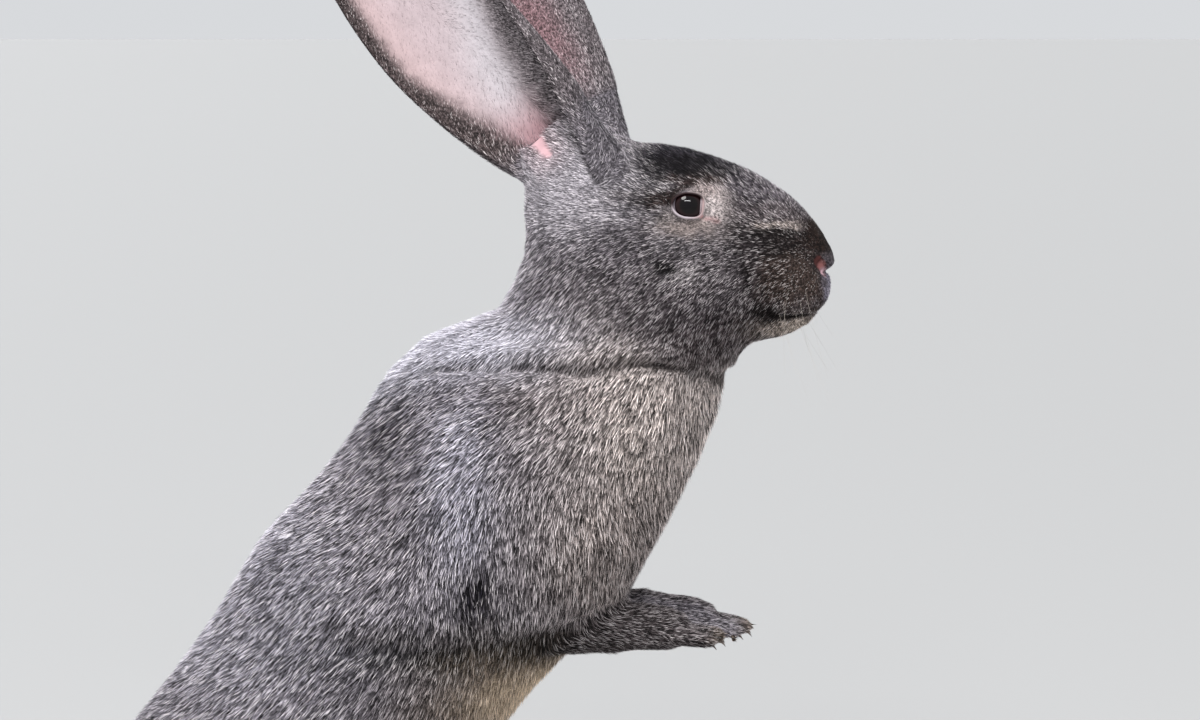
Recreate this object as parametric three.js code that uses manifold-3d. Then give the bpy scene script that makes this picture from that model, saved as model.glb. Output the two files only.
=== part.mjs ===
// A giant grey rabbit that sits up on its haunches with both forepaws lifted in front of it,
// as if they rested on a low block. Lengths are in millimetres. +X is forward, +Y is the
// rabbit's left, +Z is up. The floor is z = 0 and the origin is under the middle of its box.
//
// The flesh is described by blobs (ellipsoids and tapered limbs) that melt into one another.
// A node of flesh is a loft: rings of rays are cast from a line inside the body out to the
// surface of the blobs, and flat cuts part one node from the next.
import * as THREE from "three";
import { mergeVertices } from "three/addons/utils/BufferGeometryUtils.js";
import Module from "manifold-3d";

const wasm = await Module();
wasm.setup();

// Driving dimensions
const GAP = 0.3; // clear space between two neighbouring nodes
const SIDES = { right: -1, left: 1 };
const HEAD_TURN = THREE.MathUtils.degToRad(-9); // the face turns a little to the rabbit's right
const HEAD_PIVOT = new THREE.Vector3(100, 0, 0);
const EAR_LENGTH = 186;
const EAR_WIDTH = 86;
const EYE_RADIUS = 9.5;
const EYE_CENTRE = { x: 159, y: 27.5, z: 405 };
const FOOT_LENGTH = 158;
const FOOT_TIP = 62; // how far ahead of the hips the longest hind toe reaches

const COAT = { color: 0x6f6c6d, roughness: 0.9, metalness: 0 };
const EAR_SKIN = { color: 0x8d7d7d, roughness: 0.85, metalness: 0 };
const EYE_BALL = { color: 0x1c0f0c, roughness: 0.08, metalness: 0 };

const vec = (x, y, z) => new THREE.Vector3(x, y, z);
const mix = THREE.MathUtils.lerp;
const radians = THREE.MathUtils.degToRad;

// Blobs ---------------------------------------------------------------------------------

// An ellipsoid whose long axis is pitched up (positive) or down in the plane of symmetry and
// swung to the left by yaw. blend is how far it melts into its neighbours.
function ellipsoid({ at, semi, pitch = 0, yaw = 0, blend = 12 }) {
  const centre = vec(...at);
  const turn = new THREE.Quaternion()
    .setFromEuler(new THREE.Euler(0, -radians(pitch), radians(yaw), "ZYX"))
    .invert();
  const local = vec(0, 0, 0);
  function distance(point) {
    local.copy(point).sub(centre).applyQuaternion(turn);
    const near = Math.hypot(local.x / semi[0], local.y / semi[1], local.z / semi[2]);
    const slope = Math.hypot(
      local.x / semi[0] ** 2,
      local.y / semi[1] ** 2,
      local.z / semi[2] ** 2,
    );
    return slope > 1e-9 ? (near * (near - 1)) / slope : -Math.min(...semi);
  }
  return { distance, blend };
}

// A round limb that tapers from one radius to another; flat squeezes it sideways.
function limb({ from, to, radii, flat = 1, blend = 12 }) {
  const start = vec(...from);
  const axis = vec(...to).sub(start);
  const local = vec(0, 0, 0);
  start.y /= flat;
  axis.y /= flat;
  const length2 = axis.lengthSq();
  function distance(point) {
    local.set(point.x, point.y / flat, point.z).sub(start);
    const along = THREE.MathUtils.clamp(local.dot(axis) / length2, 0, 1);
    const radius = mix(radii[0], radii[1], along);
    return (local.addScaledVector(axis, -along).length() - radius) * Math.min(1, flat);
  }
  return { distance, blend };
}

const mirrored = (make) => [make(SIDES.right), make(SIDES.left)];

// The blobs turned with the head about its upright pivot.
function turnedWithHead(blobs) {
  const local = vec(0, 0, 0);
  const up = vec(0, 0, 1);
  const toHead = (point) =>
    local.copy(point).sub(HEAD_PIVOT).applyAxisAngle(up, -HEAD_TURN).add(HEAD_PIVOT);
  return blobs.map(({ distance, blend }) => ({
    distance: (point) => distance(toHead(point)),
    blend,
  }));
}

const headPoint = (x, y, z) =>
  vec(x, y, z).sub(HEAD_PIVOT).applyAxisAngle(vec(0, 0, 1), HEAD_TURN).add(HEAD_PIVOT);

// The distance to the melted surface of all the blobs: negative inside.
function fieldOf(blobs) {
  return (point) => {
    let depth = Infinity;
    for (const blob of blobs) {
      const next = blob.distance(point);
      const melt = Math.max(blob.blend - Math.abs(depth - next), 0) / blob.blend;
      depth = Math.min(depth, next) - (Number.isFinite(melt) ? melt * melt * blob.blend * 0.25 : 0);
    }
    return depth;
  };
}

// The anatomy ---------------------------------------------------------------------------

const BODY_PITCH = 54; // the back rises this steeply

const trunkBlobs = [
  ellipsoid({ at: [57, 0, 252], semi: [90, 57, 82], pitch: BODY_PITCH }),
  ellipsoid({ at: [1, 0, 188], semi: [92, 66, 79], pitch: BODY_PITCH - 2, blend: 24 }),
  ellipsoid({ at: [-48, 0, 124], semi: [86, 72, 73], pitch: BODY_PITCH - 4, blend: 24 }),
  ellipsoid({ at: [-88, 0, 80], semi: [70, 66, 66], blend: 24 }),
  ellipsoid({ at: [131.5, 0, 308], semi: [71.5, 43, 40], pitch: 70, blend: 24 }),
  ellipsoid({ at: [34, 0, 312], semi: [38, 34, 26], pitch: 46, blend: 16 }),
];

const shoulderBlobs = mirrored((side) =>
  ellipsoid({ at: [60, side * 40, 262], semi: [58, 20, 40], pitch: 62, yaw: side * -6, blend: 20 }),
);

const upperArmBlobs = mirrored((side) =>
  limb({ from: [100, side * 34, 236], to: [32, side * 46, 208], radii: [30, 23], flat: 0.8, blend: 18 }),
);

const neckBlobs = [
  limb({ from: [95, 0, 290], to: [122, 0, 374], radii: [60, 46], flat: 0.84, blend: 12 }),
];

const headBlobs = turnedWithHead([
  ellipsoid({ at: [116, 0, 397], semi: [43, 34, 34], blend: 14 }),
  ellipsoid({ at: [148, 0, 392], semi: [52, 34, 40], pitch: -15, blend: 14 }),
  ellipsoid({ at: [146, 0, 358], semi: [52, 38, 38], pitch: 8, blend: 14 }),
  ellipsoid({ at: [182, 0, 381], semi: [45, 23, 36], pitch: -38, blend: 12 }),
  ellipsoid({ at: [211, 0, 380], semi: [14, 9, 12], pitch: -50, blend: 8 }),
  ellipsoid({ at: [199, 0, 347], semi: [16, 11, 9], pitch: 18, blend: 6 }),
  ...mirrored((side) =>
    ellipsoid({ at: [206, side * 9, 362], semi: [17, 11, 17], pitch: -60, blend: 6 }),
  ),
  ...mirrored((side) =>
    ellipsoid({ at: [156, side * 26, 404], semi: [22, 10, 15], pitch: -8, blend: 8 }),
  ),
  ...mirrored((side) =>
    limb({ from: [114, side * 14, 402], to: [95, side * 20, 424], radii: [27, 24], flat: 0.8, blend: 10 }),
  ),
]);

const trunkField = fieldOf([...trunkBlobs, ...neckBlobs, ...shoulderBlobs, ...upperArmBlobs]);
const neckField = fieldOf([...trunkBlobs, ...shoulderBlobs, ...neckBlobs, ...headBlobs]);

// Lofts ---------------------------------------------------------------------------------

// How far a ray from a point inside the body runs before it leaves the surface.
function reach(field, origin, heading, level) {
  const probe = vec(0, 0, 0);
  const depthAt = (distance) => field(probe.copy(origin).addScaledVector(heading, distance)) - level;
  let outside = 0;
  while (depthAt(outside) < 0) outside += Math.max(0.8, -0.6 * depthAt(outside));
  if (outside === 0) throw new Error("a loft's ray starts outside the body");
  let inside = outside - Math.max(0.8, -0.6 * depthAt(0)) - 40;
  inside = Math.max(inside, 0);
  for (let step = 0; step < 40; step++) {
    const middle = (inside + outside) / 2;
    if (depthAt(middle) < 0) inside = middle;
    else outside = middle;
  }
  return (inside + outside) / 2;
}

// The points where one ring of rays meets the surface. The rays lean towards the axis by the
// ring's cone angle: 90 degrees is a flat ring, 0 a single ray, which is a pole.
function castRing(field, ring, segments, level) {
  const axis = ring.axis.clone().normalize();
  const across = vec(0, 1, 0).addScaledVector(axis, -axis.y).normalize();
  const upward = axis.clone().cross(across);
  const cone = radians(ring.cone ?? 90);
  const count = cone === 0 ? 1 : segments;
  const points = [];
  for (let i = 0; i < count; i++) {
    const angle = (i / segments) * Math.PI * 2;
    const heading = axis
      .clone()
      .multiplyScalar(Math.cos(cone))
      .addScaledVector(across, Math.sin(cone) * Math.cos(angle))
      .addScaledVector(upward, Math.sin(cone) * Math.sin(angle));
    points.push(ring.origin.clone().addScaledVector(heading, reach(field, ring.origin, heading, level)));
  }
  return points;
}

// A closed surface through rings of points. An end that is not a pole gets a flat fan round
// the middle of its ring.
function skinRings(rings) {
  const positions = [];
  const faces = [];
  const add = (point) => positions.push(point.x, point.y, point.z) / 3 - 1;
  const middle = (ring) =>
    ring.reduce((sum, point) => sum.add(point), vec(0, 0, 0)).divideScalar(ring.length);
  const closed = [
    ...(rings[0].length > 1 ? [[middle(rings[0])]] : []),
    ...rings,
    ...(rings.at(-1).length > 1 ? [[middle(rings.at(-1))]] : []),
  ];
  const numbered = closed.map((ring) => ring.map(add));
  for (let row = 0; row + 1 < numbered.length; row++) {
    const [low, high] = [numbered[row], numbered[row + 1]];
    const around = Math.max(low.length, high.length);
    for (let i = 0; i < around; i++) {
      const next = (i + 1) % around;
      if (low.length === 1) faces.push(low[0], high[i], high[next]);
      else if (high.length === 1) faces.push(low[i], high[0], low[next]);
      else faces.push(low[i], high[i], high[next], low[i], high[next], low[next]);
    }
  }
  const geometry = new THREE.BufferGeometry();
  geometry.setAttribute("position", new THREE.Float32BufferAttribute(positions, 3));
  geometry.setIndex(faces);
  return geometry;
}

const castLoft = (field, rings, segments, level = 0) =>
  skinRings(rings.map((ring) => castRing(field, ring, segments, level)));

// Rings spread evenly between keys, each key an origin, an axis and a share of the way.
function ringsBetween(keys, count) {
  const rings = [];
  for (let i = 0; i < count; i++) {
    const way = i / (count - 1);
    const next = Math.max(1, keys.findIndex((key) => key.way >= way));
    const [low, high] = [keys[next - 1], keys[next]];
    const share = (way - low.way) / (high.way - low.way);
    rings.push({
      origin: low.origin.clone().lerp(high.origin, share),
      axis: low.axis.clone().lerp(high.axis, share),
    });
  }
  return rings;
}

// A dome of rings that closes a loft round its last origin, ending in a pole.
const domeRings = (origin, axis, count) =>
  Array.from({ length: count }, (_, i) => ({ origin, axis, cone: 90 * (1 - (i + 1) / count) }));

// Solids --------------------------------------------------------------------------------

// A closed geometry as a solid for joins and cuts, turned right side out.
function solidOf(geometry) {
  const bare = geometry.index ? geometry.clone() : geometry;
  bare.deleteAttribute("normal");
  bare.deleteAttribute("uv");
  const merged = mergeVertices(bare, 1e-4);
  const triVerts = new Uint32Array(merged.index.array);
  const corners = merged.attributes.position;
  const [a, b, c] = [vec(0, 0, 0), vec(0, 0, 0), vec(0, 0, 0)];
  let volume = 0;
  for (let i = 0; i < triVerts.length; i += 3) {
    a.fromBufferAttribute(corners, triVerts[i]);
    b.fromBufferAttribute(corners, triVerts[i + 1]);
    c.fromBufferAttribute(corners, triVerts[i + 2]);
    volume += a.dot(b.cross(c));
  }
  if (volume < 0) {
    for (let i = 0; i < triVerts.length; i += 3)
      [triVerts[i + 1], triVerts[i + 2]] = [triVerts[i + 2], triVerts[i + 1]];
  }
  return new wasm.Manifold(
    new wasm.Mesh({ numProp: 3, vertProperties: new Float32Array(corners.array), triVerts }),
  );
}

function geometryOf(solid) {
  const mesh = solid.getMesh();
  const geometry = new THREE.BufferGeometry();
  geometry.setAttribute("position", new THREE.BufferAttribute(mesh.vertProperties, 3));
  geometry.setIndex(new THREE.BufferAttribute(mesh.triVerts, 1));
  return geometry;
}

// An ellipsoid solid that cuts a limb free of the trunk.
function cutter({ at, semi, pitch = 0, yaw = 0 }, grow) {
  const geometry = new THREE.SphereGeometry(1, 18, 11);
  geometry.scale(semi[0] + grow, semi[1] + grow, semi[2] + grow);
  geometry.rotateY(-radians(pitch));
  geometry.rotateZ(radians(yaw));
  geometry.translate(...at);
  return solidOf(geometry);
}

// What is left of a solid above a plane through origin whose upward side is the axis.
function above({ origin, axis }, solid) {
  const below = new THREE.BoxGeometry(900, 900, 300);
  below.translate(0, 0, -150);
  below.applyQuaternion(
    new THREE.Quaternion().setFromUnitVectors(vec(0, 0, 1), axis.clone().normalize()),
  );
  below.translate(...origin);
  return solid.subtract(solidOf(below));
}

const FLOOR = { origin: vec(0, 0, 0), axis: vec(0, 0, 1) };

// A limb's solid: rings along a straight line inside it, and a dome round each end.
function limbSolid(blobs, from, to, { rings = 8, domes = 4, segments = 16, level = 0 } = {}) {
  const axis = to.clone().sub(from).normalize();
  const start = domeRings(from, axis.clone().negate(), domes).reverse();
  const middle = ringsBetween([{ way: 0, origin: from, axis }, { way: 1, origin: to, axis }], rings);
  const cast = (ring) => castRing(fieldOf(blobs), ring, segments, level);
  // The first dome looks backwards, so its rings run the other way round.
  const first = start.map(cast).map((ring) => [ring[0], ...ring.slice(1).reverse()]);
  return solidOf(skinRings([...first, ...[...middle, ...domeRings(to, axis, domes)].map(cast)]));
}

const rabbit = new THREE.Group();
rabbit.name = "rabbit";

function addNode(name, solid, finish) {
  const mesh = new THREE.Mesh(geometryOf(solid), new THREE.MeshStandardMaterial(finish));
  mesh.name = name;
  rabbit.add(mesh);
}

// Trunk and upper arms ---------------------------------------------------------------------

const NECK_CUT = { origin: vec(92, 0, 316), axis: vec(-0.08, 0, 1) };
// The head's rings fan out about a hinge under the throat, from its back cut to upright.
const HEAD_HINGE = { x: 166, z: 298, radius: 79, back: 45 };
const hingedRing = (tilt) => ({
  origin: vec(
    HEAD_HINGE.x - HEAD_HINGE.radius * Math.sin(radians(tilt)),
    0,
    HEAD_HINGE.z + HEAD_HINGE.radius * Math.cos(radians(tilt)),
  ),
  axis: vec(Math.cos(radians(tilt)), 0, Math.sin(radians(tilt))),
});
const HEAD_CUT = hingedRing(HEAD_HINGE.back);
const shifted = (cut, by) => ({
  origin: cut.origin.clone().addScaledVector(cut.axis.clone().normalize(), by),
  axis: cut.axis.clone(),
});

function trunkSolid(level) {
  const top = shifted(NECK_CUT, -GAP / 2);
  const rumpAxis = vec(-0.62, 0, -0.78);
  const rump = vec(-82, 0, 84);
  const spine = ringsBetween(
    [
      { way: 0, origin: top.origin, axis: top.axis.clone().negate() },
      { way: 0.3, origin: vec(60, 0, 255), axis: vec(-0.45, 0, -0.89) },
      { way: 0.6, origin: vec(0, 0, 186), axis: vec(-0.6, 0, -0.8) },
      { way: 1, origin: rump, axis: rumpAxis },
    ],
    16,
  );
  return solidOf(castLoft(trunkField, [...spine, ...domeRings(rump, rumpAxis, 5)], 26, level));
}

const armCutter = (side, grow) =>
  cutter({ at: [64, side * 66, 224], semi: [60, 40, 44], pitch: 24, yaw: side * -8 }, grow);

const trunkClearance = trunkSolid(GAP);

function addTrunk() {
  const whole = trunkSolid(0);
  let trunk = whole;
  for (const [name, side] of Object.entries(SIDES)) {
    addNode("upper_arm_" + name, whole.intersect(armCutter(side, 0)), COAT);
    trunk = trunk.subtract(armCutter(side, GAP));
  }
  addNode("trunk", trunk, COAT);
}

// Forelegs --------------------------------------------------------------------------------

const TOES = [-1.5, -0.5, 0.5, 1.5]; // places across a paw, in toe widths
const CLAW = { color: 0x3a3330, roughness: 0.5, metalness: 0 };

// The left foreleg reaches a little further forward than the right one.
const FORELEGS = {
  right: { side: -1, reach: 0, lift: 3 },
  left: { side: 1, reach: 15, lift: 0 },
};

// A toe with its claw, from its root to its tip.
function toeSolid(root, tip, radii, clawLength) {
  const toe = limbSolid([limb({ from: root.toArray(), to: tip.toArray(), radii })], root, tip, {
    rings: 2,
    domes: 2,
    segments: 6,
  });
  const heading = tip.clone().sub(root).normalize();
  const claw = new THREE.ConeGeometry(radii[1] * 0.36, clawLength, 4);
  claw.rotateZ(-Math.PI / 2);
  claw.rotateY(-Math.asin(heading.z) + 0.25);
  claw.rotateZ(Math.atan2(heading.y, heading.x));
  const base = tip.clone().addScaledVector(heading, radii[1] * 0.5 + clawLength / 2);
  claw.translate(base.x, base.y, base.z + radii[1] * 0.1);
  return toe.add(solidOf(claw));
}

function forepawSolid({ side, reach: ahead, lift }) {
  const y = side * 18;
  const place = (x, across, z) => vec(x + ahead, y + across, z + lift);
  const wrist = place(114, 0, 191);
  const knuckles = place(143, 0, 190);
  const palm = [
    limb({ from: wrist.toArray(), to: knuckles.toArray(), radii: [15, 10] }),
    ellipsoid({ at: place(141, 0, 189).toArray(), semi: [17, 15, 9], pitch: -8, blend: 8 }),
  ];
  let paw = limbSolid(palm, wrist, knuckles, { rings: 3, domes: 2, segments: 10 });
  for (const toe of TOES) {
    const root = place(145, toe * 7, 189.5 - Math.abs(toe));
    const tip = place(168.5 - toe ** 2 * 2.4, toe * 7.6, 186 - Math.abs(toe) * 0.5);
    paw = paw.add(toeSolid(root, tip, [6, 4.6], 8));
  }
  return paw;
}

function forearmSolid({ side, reach: ahead, lift }, grow) {
  const elbow = vec(36, side * 42, 200);
  const wrist = vec(112 + ahead, side * 19, 191 + lift);
  const radii = [20 + grow, 14.5 + grow];
  const blobs = [limb({ from: elbow.toArray(), to: wrist.toArray(), radii })];
  return limbSolid(blobs, elbow, wrist, { rings: 5, domes: 2, segments: 12 });
}

function addForelegs() {
  for (const [name, leg] of Object.entries(FORELEGS)) {
    const paw = forepawSolid(leg).subtract(forearmSolid(leg, GAP));
    addNode("forearm_" + name, forearmSolid(leg, 0).subtract(trunkClearance), COAT);
    addNode("forepaw_" + name, paw.subtract(trunkClearance), COAT);
  }
}

// Hind legs and tail -----------------------------------------------------------------------

function haunchSolid(side, level) {
  const blobs = [
    ellipsoid({ at: [-46, side * 58, 84], semi: [86, 34, 61], pitch: 12, yaw: side * -4 }),
    ellipsoid({ at: [16, side * 56, 96], semi: [30, 26, 34], pitch: -20, blend: 20 }),
  ];
  return limbSolid(blobs, vec(-60, side * 58, 80), vec(-12, side * 57, 88), {
    rings: 4,
    domes: 5,
    segments: 18,
    level,
  });
}

function footSolid(side, level) {
  const y = side * 56;
  const heel = vec(FOOT_TIP - FOOT_LENGTH + 16, y, 15);
  const ball = vec(FOOT_TIP - 38, y, 12.5);
  const hock = vec(heel.x - 2, y, 21);
  const sole = [
    limb({ from: heel.toArray(), to: ball.toArray(), radii: [16, 13.5] }),
    limb({ from: hock.toArray(), to: [hock.x + 34, y, 54], radii: [15, 24], blend: 10 }),
    ellipsoid({ at: [ball.x - 2, y, 12], semi: [26, 18, 13], blend: 8 }),
  ];
  let foot = limbSolid(sole, heel, ball, { rings: 5, domes: 2, segments: 12, level });
  for (const toe of TOES) {
    const root = vec(ball.x + 6, y + toe * 8.6, 10);
    const tip = vec(FOOT_TIP - 9 - toe ** 2 * 2.6, y + toe * 9.4, 6);
    foot = foot.add(toeSolid(root, tip, [8.5 + level, 6.6 + level], 10));
  }
  return above(FLOOR, foot);
}

function addHindLegs() {
  for (const [name, side] of Object.entries(SIDES)) {
    const foot = footSolid(side, 0).subtract(trunkClearance);
    addNode("hind_foot_" + name, foot.subtract(haunchSolid(side, GAP)), COAT);
    addNode("haunch_" + name, haunchSolid(side, 0).subtract(trunkClearance), COAT);
  }
}

function addTail() {
  const root = vec(-138, 0, 42);
  const tip = vec(-190, 0, 15);
  const blobs = [limb({ from: root.toArray(), to: tip.toArray(), radii: [22, 16], flat: 0.8 })];
  const tail = limbSolid(blobs, root, tip, { rings: 4, domes: 3, segments: 12 });
  addNode("tail", above(FLOOR, tail).subtract(trunkClearance), COAT);
}

// Neck and head --------------------------------------------------------------------------

function addNeck() {
  const rings = ringsBetween(
    [
      { way: 0, origin: shifted(NECK_CUT, -3).origin, axis: NECK_CUT.axis },
      { way: 1, origin: vec(106, 0, 400), axis: vec(0.2, 0, 1) },
    ],
    8,
  );
  const neck = above(shifted(NECK_CUT, GAP / 2), solidOf(castLoft(neckField, rings, 28)));
  const headSide = shifted(HEAD_CUT, -GAP / 2);
  headSide.axis.negate();
  addNode("neck", above(headSide, neck), COAT);
}

// Turns a ring by a share of the head's own turn.
function turnedRing({ origin, axis }, share) {
  const up = vec(0, 0, 1);
  const turn = HEAD_TURN * share;
  return {
    origin: origin.clone().sub(HEAD_PIVOT).applyAxisAngle(up, turn).add(HEAD_PIVOT),
    axis: axis.clone().applyAxisAngle(up, turn),
  };
}

function headSolid(level) {
  const fan = 9;
  const rings = [shifted(HEAD_CUT, GAP / 2)];
  for (let i = 1; i <= fan; i++) {
    rings.push(turnedRing(hingedRing(HEAD_HINGE.back * (1 - i / fan)), i / fan));
  }
  for (const x of [173, 180, 186]) {
    rings.push(turnedRing({ origin: vec(x, 0, 377), axis: vec(1, 0, 0) }, 1));
  }
  const muzzle = rings.at(-1);
  const dome = domeRings(muzzle.origin, muzzle.axis, 9);
  return solidOf(castLoft(neckField, [...rings, ...dome], 28, level));
}

function eyeSolid(side, grow) {
  const geometry = new THREE.SphereGeometry(EYE_RADIUS + grow, 12, 8);
  geometry.translate(...headPoint(EYE_CENTRE.x, side * EYE_CENTRE.y, EYE_CENTRE.z));
  return solidOf(geometry);
}

function addHead() {
  let head = above(shifted(NECK_CUT, GAP / 2), headSolid(0));
  for (const [name, side] of Object.entries(SIDES)) {
    addNode("eye_" + name, eyeSolid(side, 0), EYE_BALL);
    head = head.subtract(eyeSolid(side, GAP));
  }
  addNode("head", head, COAT);
}

// Ears -----------------------------------------------------------------------------------

// Each ear leans back by lean degrees, straightening a little towards its tip. Its opening
// faces sideways and, by roll degrees, backwards.
const EARS = {
  right: { side: -1, root: [105, 22, 423], lean: [49, 36], splay: 9, roll: 30 },
  left: { side: 1, root: [102, 22, 425], lean: [37, 21], splay: 9, roll: 30 },
};
const EAR_THICKNESS = { root: 4.5, tip: 2.4 };
const EAR_SUNK = 0.1; // the share of its length that runs on down inside the head

// The width, the depth of the gutter and how far round it closes, along the ear.
const within = (s) => THREE.MathUtils.clamp(s, 0, 1);
const earWidth = (s) => {
  const swell = 1 - 0.63 * (1 - within((s + EAR_SUNK) / 0.65)) ** 2;
  return EAR_WIDTH * swell * Math.sqrt(1 - within((s - 0.45) / 0.55) ** 2.4);
};
const earDepth = (s) => mix(15, 8, within(s * 1.3));
const earWrap = (s) => radians(mix(150, 72, within(s * 1.15) ** 0.7));

function earFrame(ear, s) {
  const steps = 24;
  const point = vec(ear.root[0], ear.side * ear.root[1], ear.root[2]);
  const heading = vec(0, 0, 0);
  for (let i = 0; i <= steps; i++) {
    const lean = radians(mix(...ear.lean, (i / steps) * s));
    heading.set(-Math.sin(lean), ear.side * Math.tan(radians(ear.splay)), Math.cos(lean)).normalize();
    if (i < steps) point.addScaledVector(heading, (EAR_LENGTH * s) / steps);
  }
  const outward = vec(0, ear.side, 0).addScaledVector(heading, -heading.y * ear.side).normalize();
  const forward = outward.clone().cross(heading).multiplyScalar(ear.side).normalize();
  const roll = radians(ear.roll);
  const opening = outward.clone().multiplyScalar(Math.cos(roll)).addScaledVector(forward, -Math.sin(roll));
  const across = forward.clone().multiplyScalar(Math.cos(roll)).addScaledVector(outward, Math.sin(roll));
  return { point, opening, across };
}

// A point of the ear's wall: across runs from the rear margin, -1, to the front margin, 1,
// and outside is 1 on the furred back of the wall and -1 in the gutter.
function earPoint(ear, s, across, outside) {
  const frame = earFrame(ear, s);
  const angle = across * earWrap(s);
  const half = earWidth(s) / 2 / Math.sin(Math.min(earWrap(s), Math.PI / 2));
  const wall = mix(EAR_THICKNESS.root, EAR_THICKNESS.tip, s) * (1 - 0.35 * across ** 2);
  const shift = (outside * wall) / 2;
  return frame.point
    .addScaledVector(frame.across, (half + shift) * Math.sin(angle))
    .addScaledVector(frame.opening, -(earDepth(s) + shift) * Math.cos(angle));
}

function earSolid(ear) {
  const rows = 14;
  const columns = 7;
  const rings = [];
  for (let row = 0; row <= rows; row++) {
    const s = mix(-EAR_SUNK, 0.995, row / rows);
    const ring = [];
    for (const outside of [1, -1]) {
      for (let i = 0; i < columns; i++) {
        const across = outside * mix(-1, 1, i / (columns - 1));
        const point = earPoint(ear, s, across, outside);
        ring.push(headPoint(point.x, point.y, point.z));
      }
    }
    rings.push(ring);
  }
  return solidOf(skinRings(rings));
}

function addEars() {
  const clearance = headSolid(GAP);
  for (const [name, ear] of Object.entries(EARS)) {
    addNode("ear_" + name, earSolid(ear).subtract(clearance), EAR_SKIN);
  }
}

// Moves the origin under the middle of the rabbit's box, on the floor.
function centreOnFloor() {
  const middle = new THREE.Box3().setFromObject(rabbit).getCenter(vec(0, 0, 0));
  for (const mesh of rabbit.children) mesh.geometry.translate(-middle.x, -middle.y, 0);
}

addTrunk();
addForelegs();
addHindLegs();
addTail();
addNeck();
addHead();
addEars();
centreOnFloor();

export default rabbit;
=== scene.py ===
"""The looks of a giant grey rabbit that sits up on its haunches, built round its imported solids.

One skin takes the place of every node of flesh: the solids are joined, smoothed and drawn in by
the depth of the coat, then ears, lids, nostrils, lips and folds are shaped on it. The coat is
solid tufts that grow from that skin along the lie of the fur. Shapes are worked out in
millimetres and written to the meshes in metres.
"""

import math

import bmesh
import bpy
import numpy as np
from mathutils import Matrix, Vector
from mathutils.bvhtree import BVHTree
from mathutils.kdtree import KDTree


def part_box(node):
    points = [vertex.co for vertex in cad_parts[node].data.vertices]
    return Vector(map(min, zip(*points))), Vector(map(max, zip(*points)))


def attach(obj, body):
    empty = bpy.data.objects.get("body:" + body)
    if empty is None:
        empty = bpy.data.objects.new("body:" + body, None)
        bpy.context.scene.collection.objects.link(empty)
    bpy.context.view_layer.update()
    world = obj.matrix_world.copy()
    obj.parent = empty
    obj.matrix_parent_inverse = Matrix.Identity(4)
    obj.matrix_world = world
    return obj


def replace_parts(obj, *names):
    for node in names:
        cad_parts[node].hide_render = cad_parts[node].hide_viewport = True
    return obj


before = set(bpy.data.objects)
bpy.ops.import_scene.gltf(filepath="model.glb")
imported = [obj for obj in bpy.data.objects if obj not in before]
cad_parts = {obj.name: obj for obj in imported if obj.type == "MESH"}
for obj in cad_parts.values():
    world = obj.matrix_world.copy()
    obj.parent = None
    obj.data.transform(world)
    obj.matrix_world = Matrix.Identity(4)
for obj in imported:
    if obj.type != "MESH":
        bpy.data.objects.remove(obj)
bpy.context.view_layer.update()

MM = 0.001
SIDES = {"right": -1, "left": 1}
NODES = sorted(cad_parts)
FLESH = [name for name in NODES if not name.startswith("eye_")]
rng = np.random.default_rng(11)


# ---- Small helpers

def unit(vectors):
    return vectors / np.maximum(np.linalg.norm(vectors, axis=-1, keepdims=True), 1e-9)


def dot(a, b):
    return (a * b).sum(-1)


def ramp(low, high, values):
    """0 below low, 1 above high, smooth between. low may be above high."""
    share = np.clip((values - low) / (high - low), 0, 1)
    return share * share * (3 - 2 * share)


def mix(a, b, share):
    return a + (b - a) * share


def column(values):
    return values[:, None]


def around_circle(count):
    """Angles evenly round a circle."""
    return np.arange(count) / count * 2 * math.pi


def srgb(red, green, blue):
    """A screen colour, 0 to 255, as scene-linear numbers."""
    channel = np.array([red, green, blue]) / 255
    return np.where(channel <= 0.04045, channel / 12.92, ((channel + 0.055) / 1.055) ** 2.4)


def linked(name, mesh):
    """A new object of the scene."""
    piece = bpy.data.objects.new(name, mesh)
    bpy.context.scene.collection.objects.link(piece)
    return piece


def read(items, key, width, kind=np.float32):
    """One property of all of a mesh's items, a row for each."""
    values = np.zeros(len(items) * width, kind)
    items.foreach_get(key, values)
    return values.reshape(-1, width)


def read_points(mesh):
    return read(mesh.vertices, "co", 3).astype(float) / MM


def write_points(mesh, points):
    mesh.vertices.foreach_set("co", (points * MM).astype(np.float32).ravel())
    mesh.update()


def read_normals(mesh):
    return read(mesh.vertex_normals, "vector", 3).astype(float)


def smooth(mesh):
    mesh.polygons.foreach_set("use_smooth", np.ones(len(mesh.polygons), bool))


def mesh_of(name, points, faces):
    """A mesh from points in millimetres and an array of faces with as many corners each."""
    corners = faces.shape[1]
    mesh = bpy.data.meshes.new(name)
    mesh.vertices.add(len(points))
    mesh.loops.add(faces.size)
    mesh.loops.foreach_set("vertex_index", faces.astype(np.int32).ravel())
    mesh.polygons.add(len(faces))
    mesh.polygons.foreach_set("loop_start", np.arange(0, faces.size, corners, dtype=np.int32))
    smooth(mesh)
    write_points(mesh, points)
    return mesh


def shape_from(*meshes):
    shape = bmesh.new()
    for mesh in meshes:
        shape.from_mesh(mesh)
    return shape


def mesh_from(shape, name):
    """A new mesh from a bmesh, which it frees."""
    mesh = bpy.data.meshes.new(name)
    shape.to_mesh(mesh)
    shape.free()
    return mesh


def tree_of(mesh):
    """A search tree of a mesh's faces, in metres."""
    shape = shape_from(mesh)
    tree = BVHTree.FromBMesh(shape)
    shape.free()
    return tree


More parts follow.
